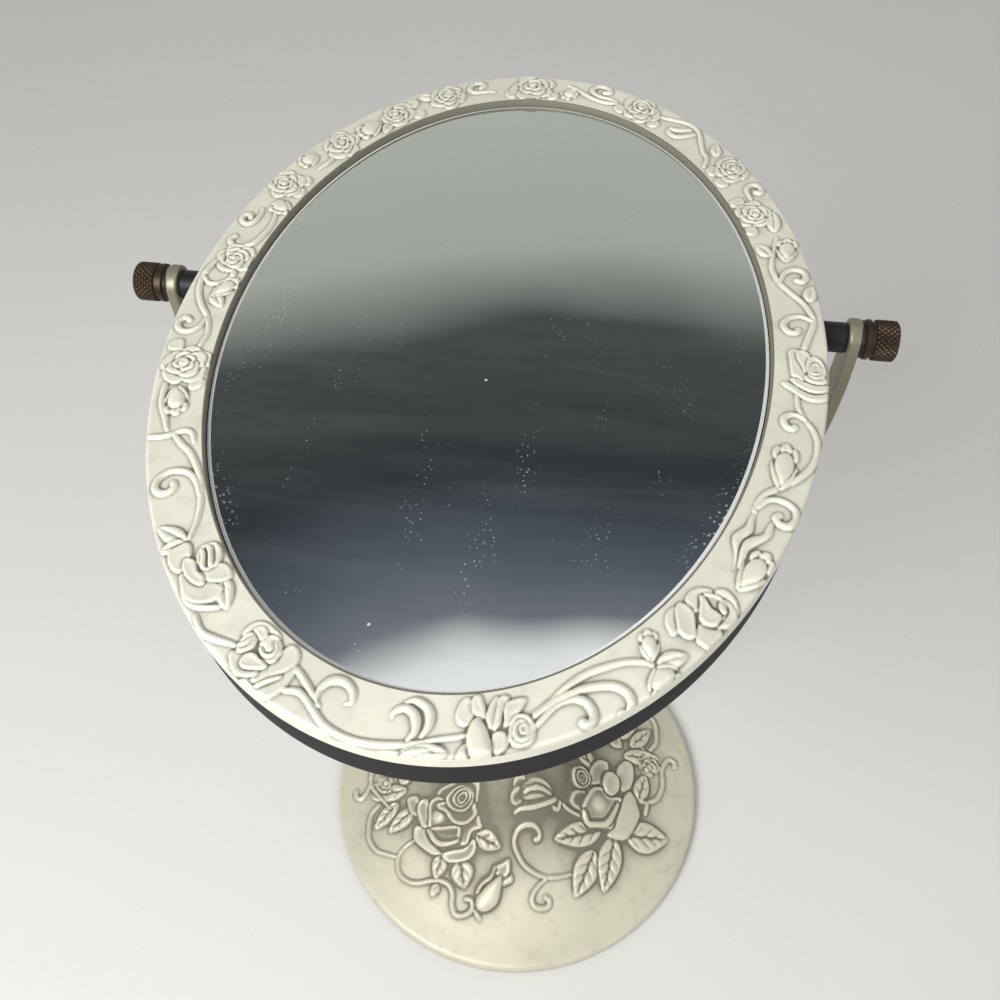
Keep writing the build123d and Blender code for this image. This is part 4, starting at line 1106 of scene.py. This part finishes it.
class MIRROR_OT_glass(MirrorOperator, bpy.types.Operator):
    """Silvered oval glass with its bevel, pale as a painted glint, and the board and foam behind it"""

    bl_idname = "table_mirror.glass"
    bl_label = "Glass and Backing"

    bevel_width = 0.75 * MM
    bevel_depth = 0.2 * MM
    around = 360
    # Vertices further out than this share of the oval belong to its edge
    edge_share = 0.998
    board_round = 0.2 * MM
    foam_round = 0.8 * MM

    def oval(self, node, edge):
        """Oval slab that fills a CAD node's box, with softened edges."""
        middle, half = box_middle(node)
        bm = bmesh.new()
        bm.verts.layers.float.new("bevel")
        bmesh.ops.create_circle(bm, cap_ends=True, segments=self.around, radius=1.0)
        bmesh.ops.scale(bm, vec=(half.x, half.y, 1.0), verts=bm.verts)
        bmesh.ops.translate(bm, vec=(middle.x, middle.y, middle.z - half.z), verts=bm.verts)
        made = bmesh.ops.extrude_face_region(bm, geom=bm.faces[:], use_keep_orig=True)
        risen = [item for item in made["geom"] if isinstance(item, bmesh.types.BMVert)]
        bmesh.ops.translate(bm, vec=(0, 0, 2 * half.z), verts=risen)
        if edge:
            rims = [item for item in bm.edges if abs(item.verts[0].co.z - item.verts[1].co.z) < half.z]
            bmesh.ops.bevel(bm, geom=rims, offset=edge, offset_type="OFFSET", segments=3, profile=0.5,
                            affect="EDGES", material=-1)
        return bm

    def execute(self, context):
        looks = self.finishes
        bm = self.oval("mirror_glass", 0)
        middle, half = box_middle("mirror_glass")
        bm.faces.ensure_lookup_table()
        top = max(bm.faces, key=lambda face: face.calc_center_median().z)
        bmesh.ops.inset_region(bm, faces=[top], thickness=self.bevel_width, use_even_offset=True)
        rim = [vert for vert in bm.verts if vert.co.z > middle.z
               and math.hypot(vert.co.x / half.x, (vert.co.y - middle.y) / half.y) > self.edge_share]
        bmesh.ops.translate(bm, vec=(0, 0, -self.bevel_depth), verts=rim)
        layer = bm.verts.layers.float["bevel"]
        for vert in rim:
            vert[layer] = 1.0
        finish_piece(bm, "bevelled_glass", "mirror_head", ["mirror_glass"],
                     glass_finish(looks.silver, looks.dust, looks.bevel, middle, half), 8)
        board = soft_finish("brown_board", (0.30, 0.24, 0.17), 900, 0.05 * MM)
        finish_piece(self.oval("backing_board", self.board_round), "oval_board", "mirror_head",
                     ["backing_board"], board, 40)
        foam = soft_finish("grey_foam", (0.12, 0.12, 0.12), 1400, 0.3 * MM)
        pad = finish_piece(self.oval("foam_pad", self.foam_round), "foam_filler", "mirror_head",
                           ["foam_pad"], foam, 40)
        return {"FINISHED"}


class MIRROR_OT_foot(MirrorOperator, bpy.types.Operator):
    """Flared cast foot with its groups of roses, and the felt under it"""

    bl_idname = "table_mirror.foot"
    bl_label = "Carved Foot"

    around = 640
    row_step = 0.48 * MM
    plain = 70.0 * MM
    dense = 19.0 * MM
    # Painted shadow of the mirror head on the foot: it reaches this far out from the axis, darkest towards
    # the neck
    neck_shade_reach = 50.0 * MM
    rim_height = 4.0 * MM
    rim_round = 1.8 * MM
    neck_radius = 12.0 * MM
    wall = 3.0 * MM
    pocket = 75.0 * MM
    boss = 24.0 * MM
    boss_height = 8.0 * MM
    nut_radius = 8.5 * MM
    foot_edge = 0.5 * MM
    felt_round = 0.45 * MM
    # Patina: weight of the recesses; then the painted shadow of the mirror head towards the neck: its share
    # and its limit
    recess_weight = 0.6
    neck_shade_weight = 0.36
    neck_shade_limit = 0.6
    # Map of the ornament, in millimetres: cell, then the cut line's width and depth and the petal rims
    cell = 0.2
    cutting = (0.55, 0.28, 1.05)
    # Smoothing and spread in millimetres, then weights of the hollows' patina and painted shade, and of the
    # painted shade on crowded ground
    shading = (0.18, 0.7, 0.60, 1.0)
    # Shares of the relief, and the leaves' vein pitch in millimetres and vein depth
    stem_share = 0.45
    leaf_share = 0.6
    rose_share = 0.6
    ribbon_share = 0.9
    vein_pitch = 4.4
    vein_depth = 0.44

    def carve(self, reach):
        """The foot's ornament as seen from above, both halves."""
        carving = Carving((-reach, -reach), (reach, reach), self.cell, False, *self.cutting)
        tall = self.sizes.foot_relief / MM
        stem = self.sizes.foot_stem / MM
        for turn in (1, -1):
            for paths, widths in ((FOOT_STEMS, VINE), (FOOT_CURLS, COMMA)):
                for points in paths:
                    carving.stem(turn * np.array(points), stem, self.stem_share * tall, widths)
            for base, tip, width in FOOT_LEAVES:
                carving.leaf(turn * np.array(base), turn * np.array(tip), width, self.leaf_share * tall,
                             self.vein_pitch, self.vein_depth)
            for middle, radius, lean, swing in FOOT_ROSES:
                carving.rose(turn * np.array(middle), radius, turn * np.array(lean), swing,
                             self.rose_share * tall)
            for share, floor, outline in FOOT_PATCHES:
                carving.patch(turn * np.array(outline), share * tall, floor)
            for middle, radius, share in FOOT_SWELLS:
                carving.swell(turn * np.array(middle), radius, share * tall)
            for width, points in FOOT_RIBBONS:
                carving.stem(turn * np.array(points), width, self.ribbon_share * tall, VINE)
        carving.ready(*self.shading)
        return carving

    def execute(self, context):
        low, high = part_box("foot_casting")
        rim = high.x
        base = low.z
        rim_top = base + self.rim_height
        shares = smooth_path(FLARE_SHARES, 0.002)
        flare_out = self.neck_radius + (rim - self.neck_radius) * shares[::-1, 0]
        flare_up = rim_top + (high.z - rim_top) * shares[::-1, 1]

        def level_at(radius):
            return np.interp(radius, flare_out, flare_up)

        turns = np.linspace(0, math.pi / 2, 7)
        edge_out = rim - self.rim_round * (1 - np.cos(turns))
        edge = list(zip(edge_out, level_at(edge_out) - self.rim_round * (1 - np.sin(turns))))
        start = rim - self.rim_round
        rows = np.concatenate([
            np.linspace(start, self.plain, 10)[1:],
            np.arange(self.plain, self.dense, -self.row_step)[1:],
            np.linspace(self.dense, self.neck_radius, 12),
        ])
        flare = [(radius, level_at(radius)) for radius in rows]
        lower = [(rim - self.foot_edge, base), (rim, base + self.foot_edge)]
        pocket = np.linspace(self.boss, self.pocket, 9)
        hollow = [(radius, level_at(radius) - self.wall) for radius in pocket]
        boss_top = base + self.boss_height
        section = lower + edge + flare
        section += [(ROD_BORE, high.z), (ROD_BORE, boss_top), (self.nut_radius, boss_top),
                    (self.nut_radius, base), (self.boss, base)]
        section += hollow + [(self.pocket, base), lower[0]]
        radius, level = np.array(section).T
        first = len(lower) + len(edge)
        share = np.zeros(len(section))
        share[first:first + len(flare)] = 1
        slope = np.gradient(level, radius + np.linspace(0, 1e-9, len(radius)))
        tilt = np.where(share > 0, np.hypot(1, slope), 1)
        carving = self.carve(rim / MM)

        def mould(column, row):
            angle = column / self.around * 2 * math.pi
            across = radius[row] * np.cos(angle)
            deep = radius[row] * np.sin(angle)
            height = carving.sample(carving.height, across / MM, deep / MM) * share[row] * MM
            # Painted shadow of the mirror head, darker towards the neck, added to the patina
            nearness = (self.neck_shade_reach - radius[row]) / (self.neck_shade_reach - self.neck_radius)
            neck_shade = np.clip(nearness, 0, self.neck_shade_limit) * self.neck_shade_weight
            carved = carving.sample(carving.recess, across / MM, deep / MM) * self.recess_weight
            out = radius[row] - height * np.where(share[row] > 0, slope[row], 0) / tilt[row]
            up = level[row] + height / tilt[row]
            places = np.stack([out * np.cos(angle), out * np.sin(angle), up], -1)
            return places, (carved + neck_shade) * share[row]

        bm = wrapped(self.around, len(section) - 1, mould)
        finish = self.pewter("foot_pewter_with_painted_shade", self.finishes.stand, 0.16, 0.85)
        finish_piece(bm, "carved_foot", "stand", ["foot_casting"], finish, 70)
        low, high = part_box("felt_pad")
        bm = bmesh.new()
        turned(bm, [(0, low.z, 0), (high.x, low.z, self.felt_round), (high.x, high.z, self.felt_round),
                    (0, high.z, 0)], 120)
        felt = soft_finish("dark_felt", (0.03, 0.035, 0.03), 1800, 0.25 * MM)
        pad = finish_piece(bm, "felt_disc", "stand", ["felt_pad"], felt, 40)
        tint(["foot_weight"], steel_finish("grey_steel", STEEL, 0.9))
        return {"FINISHED"}


class MIRROR_OT_stem(MirrorOperator, bpy.types.Operator):
    """Turned stem with its collars, dome nut and tie rod"""

    bl_idname = "table_mirror.stem"
    bl_label = "Turned Stem"

    bead_share = 0.64
    bead_round = 1.3 * MM
    fillet_step = 1.6 * MM
    fillet_round = 0.6 * MM
    turning_step = 0.7 * MM
    skirt_height = 2.6 * MM
    skirt_rounds = (0.4 * MM, 0.5 * MM)
    dome_step = 1.3 * MM
    dome_round = 2.2 * MM

    def collar(self, node, name, finish):
        """Collar with a full bead below a narrower fillet."""
        low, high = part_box(node)
        waist = low.z + self.bead_share * (high.z - low.z)
        fillet = high.x - self.fillet_step
        bm = bmesh.new()
        turned(bm, [(ROD_BORE, low.z, 0), (high.x, low.z, self.bead_round),
                    (high.x, waist, self.bead_round), (fillet, waist, 0),
                    (fillet, high.z, self.fillet_round), (ROD_BORE, high.z, 0)])
        finish_piece(bm, name, "stand", [node], finish, 35)

    def execute(self, context):
        finish = self.pewter("stem_pewter_with_painted_shade", self.finishes.stand, 0.26, 0.85)
        self.collar("lower_collar", "lower_ring", finish)
        self.collar("upper_collar", "upper_ring", finish)
        low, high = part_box("stem_column")
        rise = high.z - low.z
        profile = [(radius * MM, low.z + share * rise) for share, radius in COLUMN_TURNING]
        turning = smooth_path(profile, self.turning_step)
        bm = bmesh.new()
        corners = [(ROD_BORE, low.z, 0)] + [(radius, level, 0) for radius, level in turning]
        turned(bm, corners + [(ROD_BORE, high.z, 0)], 64)
        finish_piece(bm, "turned_column", "stand", ["stem_column"], finish, 40)
        low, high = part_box("cap_nut")
        skirt = low.z + self.skirt_height
        dome = high.x - self.dome_step
        below, above = self.skirt_rounds
        bm = bmesh.new()
        turned(bm, [(0, low.z, 0), (high.x, low.z, below), (high.x, skirt, above), (dome, skirt, 0),
                    (dome, high.z, self.dome_round), (0, high.z, 0)], 64)
        finish_piece(bm, "dome_nut", "stand", ["cap_nut"], finish, 40)
        tint(["tie_rod", "tie_washer", "tie_nut"], steel_finish("rod_steel", STEEL, 0.9))
        return {"FINISHED"}


class MIRROR_OT_yoke(MirrorOperator, bpy.types.Operator):
    """Flat bar bent to a U, with round ends and a hub"""

    bl_idname = "table_mirror.yoke"
    bl_label = "Bent Yoke"

    thickness = 2.8 * MM
    end_half_width = 4.5 * MM
    base_half_width = 6.5 * MM
    pivot_straight = 6.0 * MM
    hub_radius = 8.0 * MM
    hub_round = 0.8 * MM
    hub_drop = 4.0 * MM
    seat_radius = 6.4 * MM
    seat_height = 0.8 * MM
    seat_round = 0.4 * MM
    corner_points = 6
    along = 260

    def execute(self, context):
        low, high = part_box("yoke")
        half_thick = self.thickness / 2
        half_span = high.x - half_thick
        shoulder = high.z - self.end_half_width - self.pivot_straight
        bar_bottom = low.z + self.hub_drop
        rise = shoulder - bar_bottom - half_thick
        arm = [(-half_span, level) for level in np.linspace(high.z, shoulder, 40, endpoint=False)]
        bend = [(-half_span * math.cos(a), shoulder - rise * math.sin(a))
                for a in np.linspace(0, math.pi, 240)]
        path = np.array(arm + bend + [(-right, level) for right, level in arm[::-1]])
        reach = np.concatenate([[0], np.cumsum(np.hypot(*np.diff(path, axis=0).T))])
        total = reach[-1]
        # Steps close together over the round ends
        tips = self.end_half_width * (1 - np.cos(np.linspace(0, math.pi / 2, 15)))
        between = np.linspace(tips[-1], total - tips[-1], self.along)[1:-1]
        steps = np.concatenate([tips, between, total - tips[::-1]])
        centre = np.stack([np.interp(steps, reach, path[:, 0]), np.interp(steps, reach, path[:, 1])], -1)
        heading = np.gradient(centre, steps, axis=0)
        heading /= np.linalg.norm(heading, axis=1)[:, None]
        end = np.minimum(steps, total - steps)
        width = self.end_half_width + (self.base_half_width - self.end_half_width) * np.clip(
            (end - 2 * self.end_half_width) / (total / 2 - 2 * self.end_half_width), 0, 1)
        cap = np.clip(end, 0, self.end_half_width)
        width = np.where(end < self.end_half_width, np.sqrt(cap * (2 * self.end_half_width - cap)), width)
        corner = np.linspace(0, math.pi / 2, self.corner_points)
        turns = np.concatenate([corner + quarter * math.pi / 2 for quarter in range(4)])
        signs = np.repeat(np.array([(1, 1), (-1, 1), (-1, -1), (1, -1)]), self.corner_points, axis=0)
        turns = np.append(turns, turns[0])
        signs = np.vstack([signs, signs[:1]])

        def mould(column, row):
            radius = np.minimum(self.sizes.bar_round, width[column])
            side = signs[row, 0] * (width[column] - radius) + radius * np.cos(turns[row])
            lift = signs[row, 1] * (half_thick - radius) + radius * np.sin(turns[row])
            across = centre[column, 0] - heading[column, 1] * lift
            up = centre[column, 1] + heading[column, 0] * lift
            return np.stack([across, side, up], -1), np.zeros(len(column))

        bm = wrapped(len(steps) - 1, len(turns) - 1, mould)
        floor = bar_bottom + self.thickness
        seat = floor + self.seat_height
        turned(bm, [(ROD_BORE, low.z, 0), (self.hub_radius, low.z, self.hub_round),
                    (self.hub_radius, bar_bottom + half_thick, 0), (self.seat_radius, floor, 0),
                    (self.seat_radius, seat, self.seat_round), (ROD_BORE, seat, 0)], 64)
        # The bar's colour is painted shade on the pewter
        finish = self.pewter("bar_pewter_painted_shade", self.finishes.bar, 0.5, 0.88)
        finish_piece(bm, "bent_yoke", "stand", ["yoke"], finish, 40)
        return {"FINISHED"}


class MIRROR_OT_pivots(MirrorOperator, bpy.types.Operator):
    """Spacers, friction washers, knurled knobs and studs of both pivots"""

    bl_idname = "table_mirror.pivots"
    bl_label = "Pivots and Knobs"

    around = 240
    chamfer = 0.6 * MM
    groove_start = 1.2 * MM
    groove_width = 0.8 * MM
    groove_depth = 0.5 * MM
    root_step = 0.1 * MM
    root_edge = 0.3 * MM
    grip_lead = 0.25 * MM
    grip_rows = 34
    end_edge = (0.3 * MM, 0.2 * MM)
    dish_depth = 0.3 * MM
    knob_bore = 1.6 * MM
    sleeve_bore = 1.7 * MM
    sleeve_round = 0.5 * MM
    washer_round = 0.3 * MM
    # Slant of the knurl, and how narrow its furrows are
    knurl_lead = 0.9
    knurl_power = 2.5

    def sleeve(self, node, name, body, rounding, finish):
        """Plain sleeve or washer along the tilt axis."""
        low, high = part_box(node)
        radius = (high.z - low.z) / 2
        bm = bmesh.new()
        turned(bm, [(self.sleeve_bore, low.x, 0), (radius, low.x, rounding), (radius, high.x, rounding),
                    (self.sleeve_bore, high.x, 0)], 72)
        bmesh.ops.rotate(bm, cent=(0, 0, 0), matrix=Matrix.Rotation(math.pi / 2, 3, "Y"), verts=bm.verts)
        bmesh.ops.translate(bm, vec=(0, 0, (low.z + high.z) / 2), verts=bm.verts)
        finish_piece(bm, name, body, [node], finish, 40)

    def knob(self, side, sign, finish):
        """Knob with a grooved root and a diamond-knurled grip."""
        low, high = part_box(side + "_knob_grip")
        radius = (high.z - low.z) / 2
        length = high.x - low.x
        middle = (low.z + high.z) / 2
        root = low.x if sign > 0 else high.x
        groove = self.groove_start + self.groove_width
        grip = np.linspace(groove + self.grip_lead, length - self.chamfer, self.grip_rows)
        root_radius = radius - self.root_step
        groove_radius = radius - self.groove_depth
        dish = length - self.dish_depth
        edge_in, edge_back = self.end_edge
        # Section: radius, way along and share of the knurl it carries
        section = [(self.knob_bore, 0, 0), (root_radius - self.root_edge, 0, 0),
                   (root_radius, self.root_edge, 0), (root_radius, self.groove_start, 0),
                   (groove_radius, self.groove_start, 0), (groove_radius, groove, 0)]
        section += [(radius, way, 1) for way in grip]
        section += [(radius - edge_in, length - edge_back, 0.3), (radius - self.chamfer, length, 0),
                    (0.55 * radius, length, 0), (0.5 * radius, dish, 0), (0, dish, 0)]
        out, way, share = np.array(section).T
        count = self.sizes.knurl_count
        depth = self.sizes.knurl_depth

        def mould(column, row):
            angle = column / self.around * 2 * math.pi
            lead = way[row] / radius * self.knurl_lead
            first = np.abs(((angle + lead) * count / (2 * math.pi)) % 1 - 0.5) * 2
            second = np.abs(((angle - lead) * count / (2 * math.pi)) % 1 - 0.5) * 2
            sunk = np.maximum(first, second)**self.knurl_power * share[row]
            reach = out[row] - sunk * depth
            deep = reach * np.cos(angle)
            up = middle + reach * np.sin(angle)
            places = np.stack([root + sign * way[row], deep, up], -1)
            return places, (sunk * 2 - 1) * (share[row] > 0)

        bm = wrapped(self.around, len(section) - 1, mould)
        finish_piece(bm, side + "_knurled_knob", side + "_knob", [side + "_knob_grip"],
                     finish, 40)

    def execute(self, context):
        nylon = nylon_finish()
        bronze = bronze_finish(self.finishes.bronze)
        for side, sign in (("left", -1), ("right", 1)):
            self.sleeve(side + "_spacer", side + "_black_sleeve", "mirror_head", self.sleeve_round, nylon)
            self.sleeve(side + "_friction_washer", side + "_black_washer", side + "_knob",
                        self.washer_round, nylon)
            self.knob(side, sign, bronze)
        tint(["left_knob_stud", "right_knob_stud"], steel_finish("stud_steel", STEEL, 0.9))
        brass = steel_finish("bush_brass", (0.55, 0.42, 0.20), 0.9)
        tint(["left_pivot_insert", "right_pivot_insert"], brass)
        return {"FINISHED"}


class MIRROR_OT_back(MirrorOperator, bpy.types.Operator):
    """Finishes of the back shell and its screws"""

    bl_idname = "table_mirror.back"
    bl_label = "Back Shell"

    def execute(self, context):
        tint(["back_shell"], shell_finish(self.finishes.shell))
        tint(["back_screws"], steel_finish("black_screws", (0.05, 0.05, 0.05), 0.8))
        return {"FINISHED"}


class MIRROR_OT_stage(MirrorOperator, bpy.types.Operator):
    """Pale floor, soft lamps, room light and camera"""

    bl_idname = "table_mirror.stage"
    bl_label = "Stage"

    floor_radius = 4.0
    eye = Vector((0.0287, -0.1800, 0.4536))
    pitch = math.radians(52.85)
    yaw = math.radians(9.86)
    roll = math.radians(2.17)
    # Room as seen in the glass: upward share of the view, colour
    room_stops = (
        (0.0, (0.70, 0.695, 0.68)), (0.40, (0.62, 0.63, 0.61)), (0.54, (0.48, 0.50, 0.46)),
        (0.64, (0.42, 0.44, 0.40)), (0.69, (0.070, 0.080, 0.080)), (0.78, (0.035, 0.040, 0.046)),
        (0.83, (0.10, 0.115, 0.145)), (0.86, (0.18, 0.19, 0.22)), (0.878, (0.88, 0.89, 0.90)),
        (0.91, (1.0, 1.0, 0.99)),
    )

    def lamp(self, name, place, target, size, power, colour):
        """Soft square lamp aimed at a point."""
        light = bpy.data.lights.new(name, "AREA")
        light.shape = "SQUARE"
        light.size = size
        light.energy = power
        light.color = colour
        lamp = bpy.data.objects.new(name, light)
        lamp.location = place
        lamp.rotation_euler = (Vector(target) - Vector(place)).to_track_quat("-Z", "Y").to_euler()
        bpy.context.scene.collection.objects.link(lamp)

    def room(self, level):
        """World: even light; eye and reflections see a room with a dark upper wall and a bright ceiling."""
        world = bpy.data.worlds.new("room")
        bpy.context.scene.world = world
        nodes = Nodes(world)
        way = nodes.node("ShaderNodeTexCoord", output="Generated")
        up = nodes.node("ShaderNodeSeparateXYZ", None, {0: way}, "Z")
        cloud = nodes.node("ShaderNodeTexNoise", None, {"Vector": way, "Scale": 3.0, "Detail": 2.0})
        stops = [(height, opaque(colour)) for height, colour in self.room_stops]
        seen = nodes.node("ShaderNodeValToRGB", {"stops": stops}, {0: up + (cloud - 0.5) * 0.07})
        path = "ShaderNodeLightPath"
        direct = (nodes.node(path, output="Is Camera Ray") + nodes.node(path, output="Is Glossy Ray")
                  + nodes.node(path, output="Is Transmission Ray")).clamped()
        colour = nodes.mix((level, level, level * 0.97, 1), seen, direct)
        sky = nodes.node("ShaderNodeBackground", None, {"Color": colour, "Strength": 1.0})
        nodes.node("ShaderNodeOutputWorld", None, {"Surface": sky})

    def execute(self, context):
        stage = context.scene.mirror_stage
        bm = bmesh.new()
        bmesh.ops.create_circle(bm, cap_ends=True, segments=96, radius=self.floor_radius)
        mesh = bpy.data.meshes.new("floor")
        bm.to_mesh(mesh)
        bm.free()
        material, nodes = new_finish("pale_floor")
        cloud = nodes.noise(9, 3)
        nodes.surface(Base_Color=nodes.mix(opaque(stage.floor, 0.985), opaque(stage.floor, 1.015), cloud),
                      Roughness=0.9, Specular_IOR_Level=0.2)
        mesh.materials.append(material)
        floor = bpy.data.objects.new("floor", mesh)
        context.scene.collection.objects.link(floor)
        self.lamp("key_lamp", (-0.30, -0.50, 0.68), (0, -0.08, 0.24), 0.40, stage.key_power,
                  (1.0, 0.99, 0.97))
        self.lamp("fill_lamp", (0.70, -0.60, 0.85), (0, 0, 0.18), 0.9, stage.fill_power,
                  (0.97, 0.985, 1.0))
        self.room(stage.room_light)
        lens = bpy.data.cameras.new("camera")
        lens.sensor_width = 36.0
        lens.lens = stage.lens / MM
        lens.clip_start = 0.01
        camera = bpy.data.objects.new("camera", lens)
        ahead = Vector((0, math.cos(self.pitch), -math.sin(self.pitch)))
        right = Vector((1, 0, 0))
        down = ahead.cross(right)
        turn = Matrix.Rotation(self.yaw, 3, "Z")
        ahead, right, down = turn @ ahead, turn @ right, turn @ down
        across = math.cos(self.roll) * right + math.sin(self.roll) * down
        below = -math.sin(self.roll) * right + math.cos(self.roll) * down
        facing = Matrix((across, -below, -ahead)).transposed()
        camera.matrix_world = Matrix.Translation(self.eye) @ facing.to_4x4()
        context.scene.collection.objects.link(camera)
        context.scene.camera = camera
        context.scene.view_settings.view_transform = "Standard"
        return {"FINISHED"}


class MIRROR_PT_sidebar(bpy.types.Panel):
    """Sidebar panel that lists the pieces"""

    bl_idname = "MIRROR_PT_sidebar"
    bl_label = "Table Mirror"
    bl_space_type = "VIEW_3D"
    bl_region_type = "UI"
    bl_category = "Table Mirror"

    def draw(self, context):
        for holder, kind in GROUPS.items():
            box = self.layout.box()
            for name in kind.__annotations__:
                box.prop(getattr(context.scene, holder), name)
        for operator in OPERATORS:
            self.layout.operator(operator.bl_idname)


GROUPS = {"mirror_carving": MirrorCarving, "mirror_finishes": MirrorFinishes, "mirror_stage": MirrorStage}
OPERATORS = (MIRROR_OT_border, MIRROR_OT_glass, MIRROR_OT_foot, MIRROR_OT_stem, MIRROR_OT_yoke,
             MIRROR_OT_pivots, MIRROR_OT_back, MIRROR_OT_stage)
CLASSES = tuple(GROUPS.values()) + OPERATORS + (MIRROR_PT_sidebar,)


def register():
    for item in CLASSES:
        bpy.utils.register_class(item)
    for name, group in GROUPS.items():
        setattr(bpy.types.Scene, name, PointerProperty(type=group))


def unregister():
    for name in GROUPS:
        delattr(bpy.types.Scene, name)
    for item in reversed(CLASSES):
        bpy.utils.unregister_class(item)


def main():
    register()
    bpy.ops.table_mirror.border()
    bpy.ops.table_mirror.glass()
    bpy.ops.table_mirror.foot()
    bpy.ops.table_mirror.stem()
    bpy.ops.table_mirror.yoke()
    bpy.ops.table_mirror.pivots()
    bpy.ops.table_mirror.back()
    bpy.ops.table_mirror.stage()


if __name__ == "__main__":
    main()
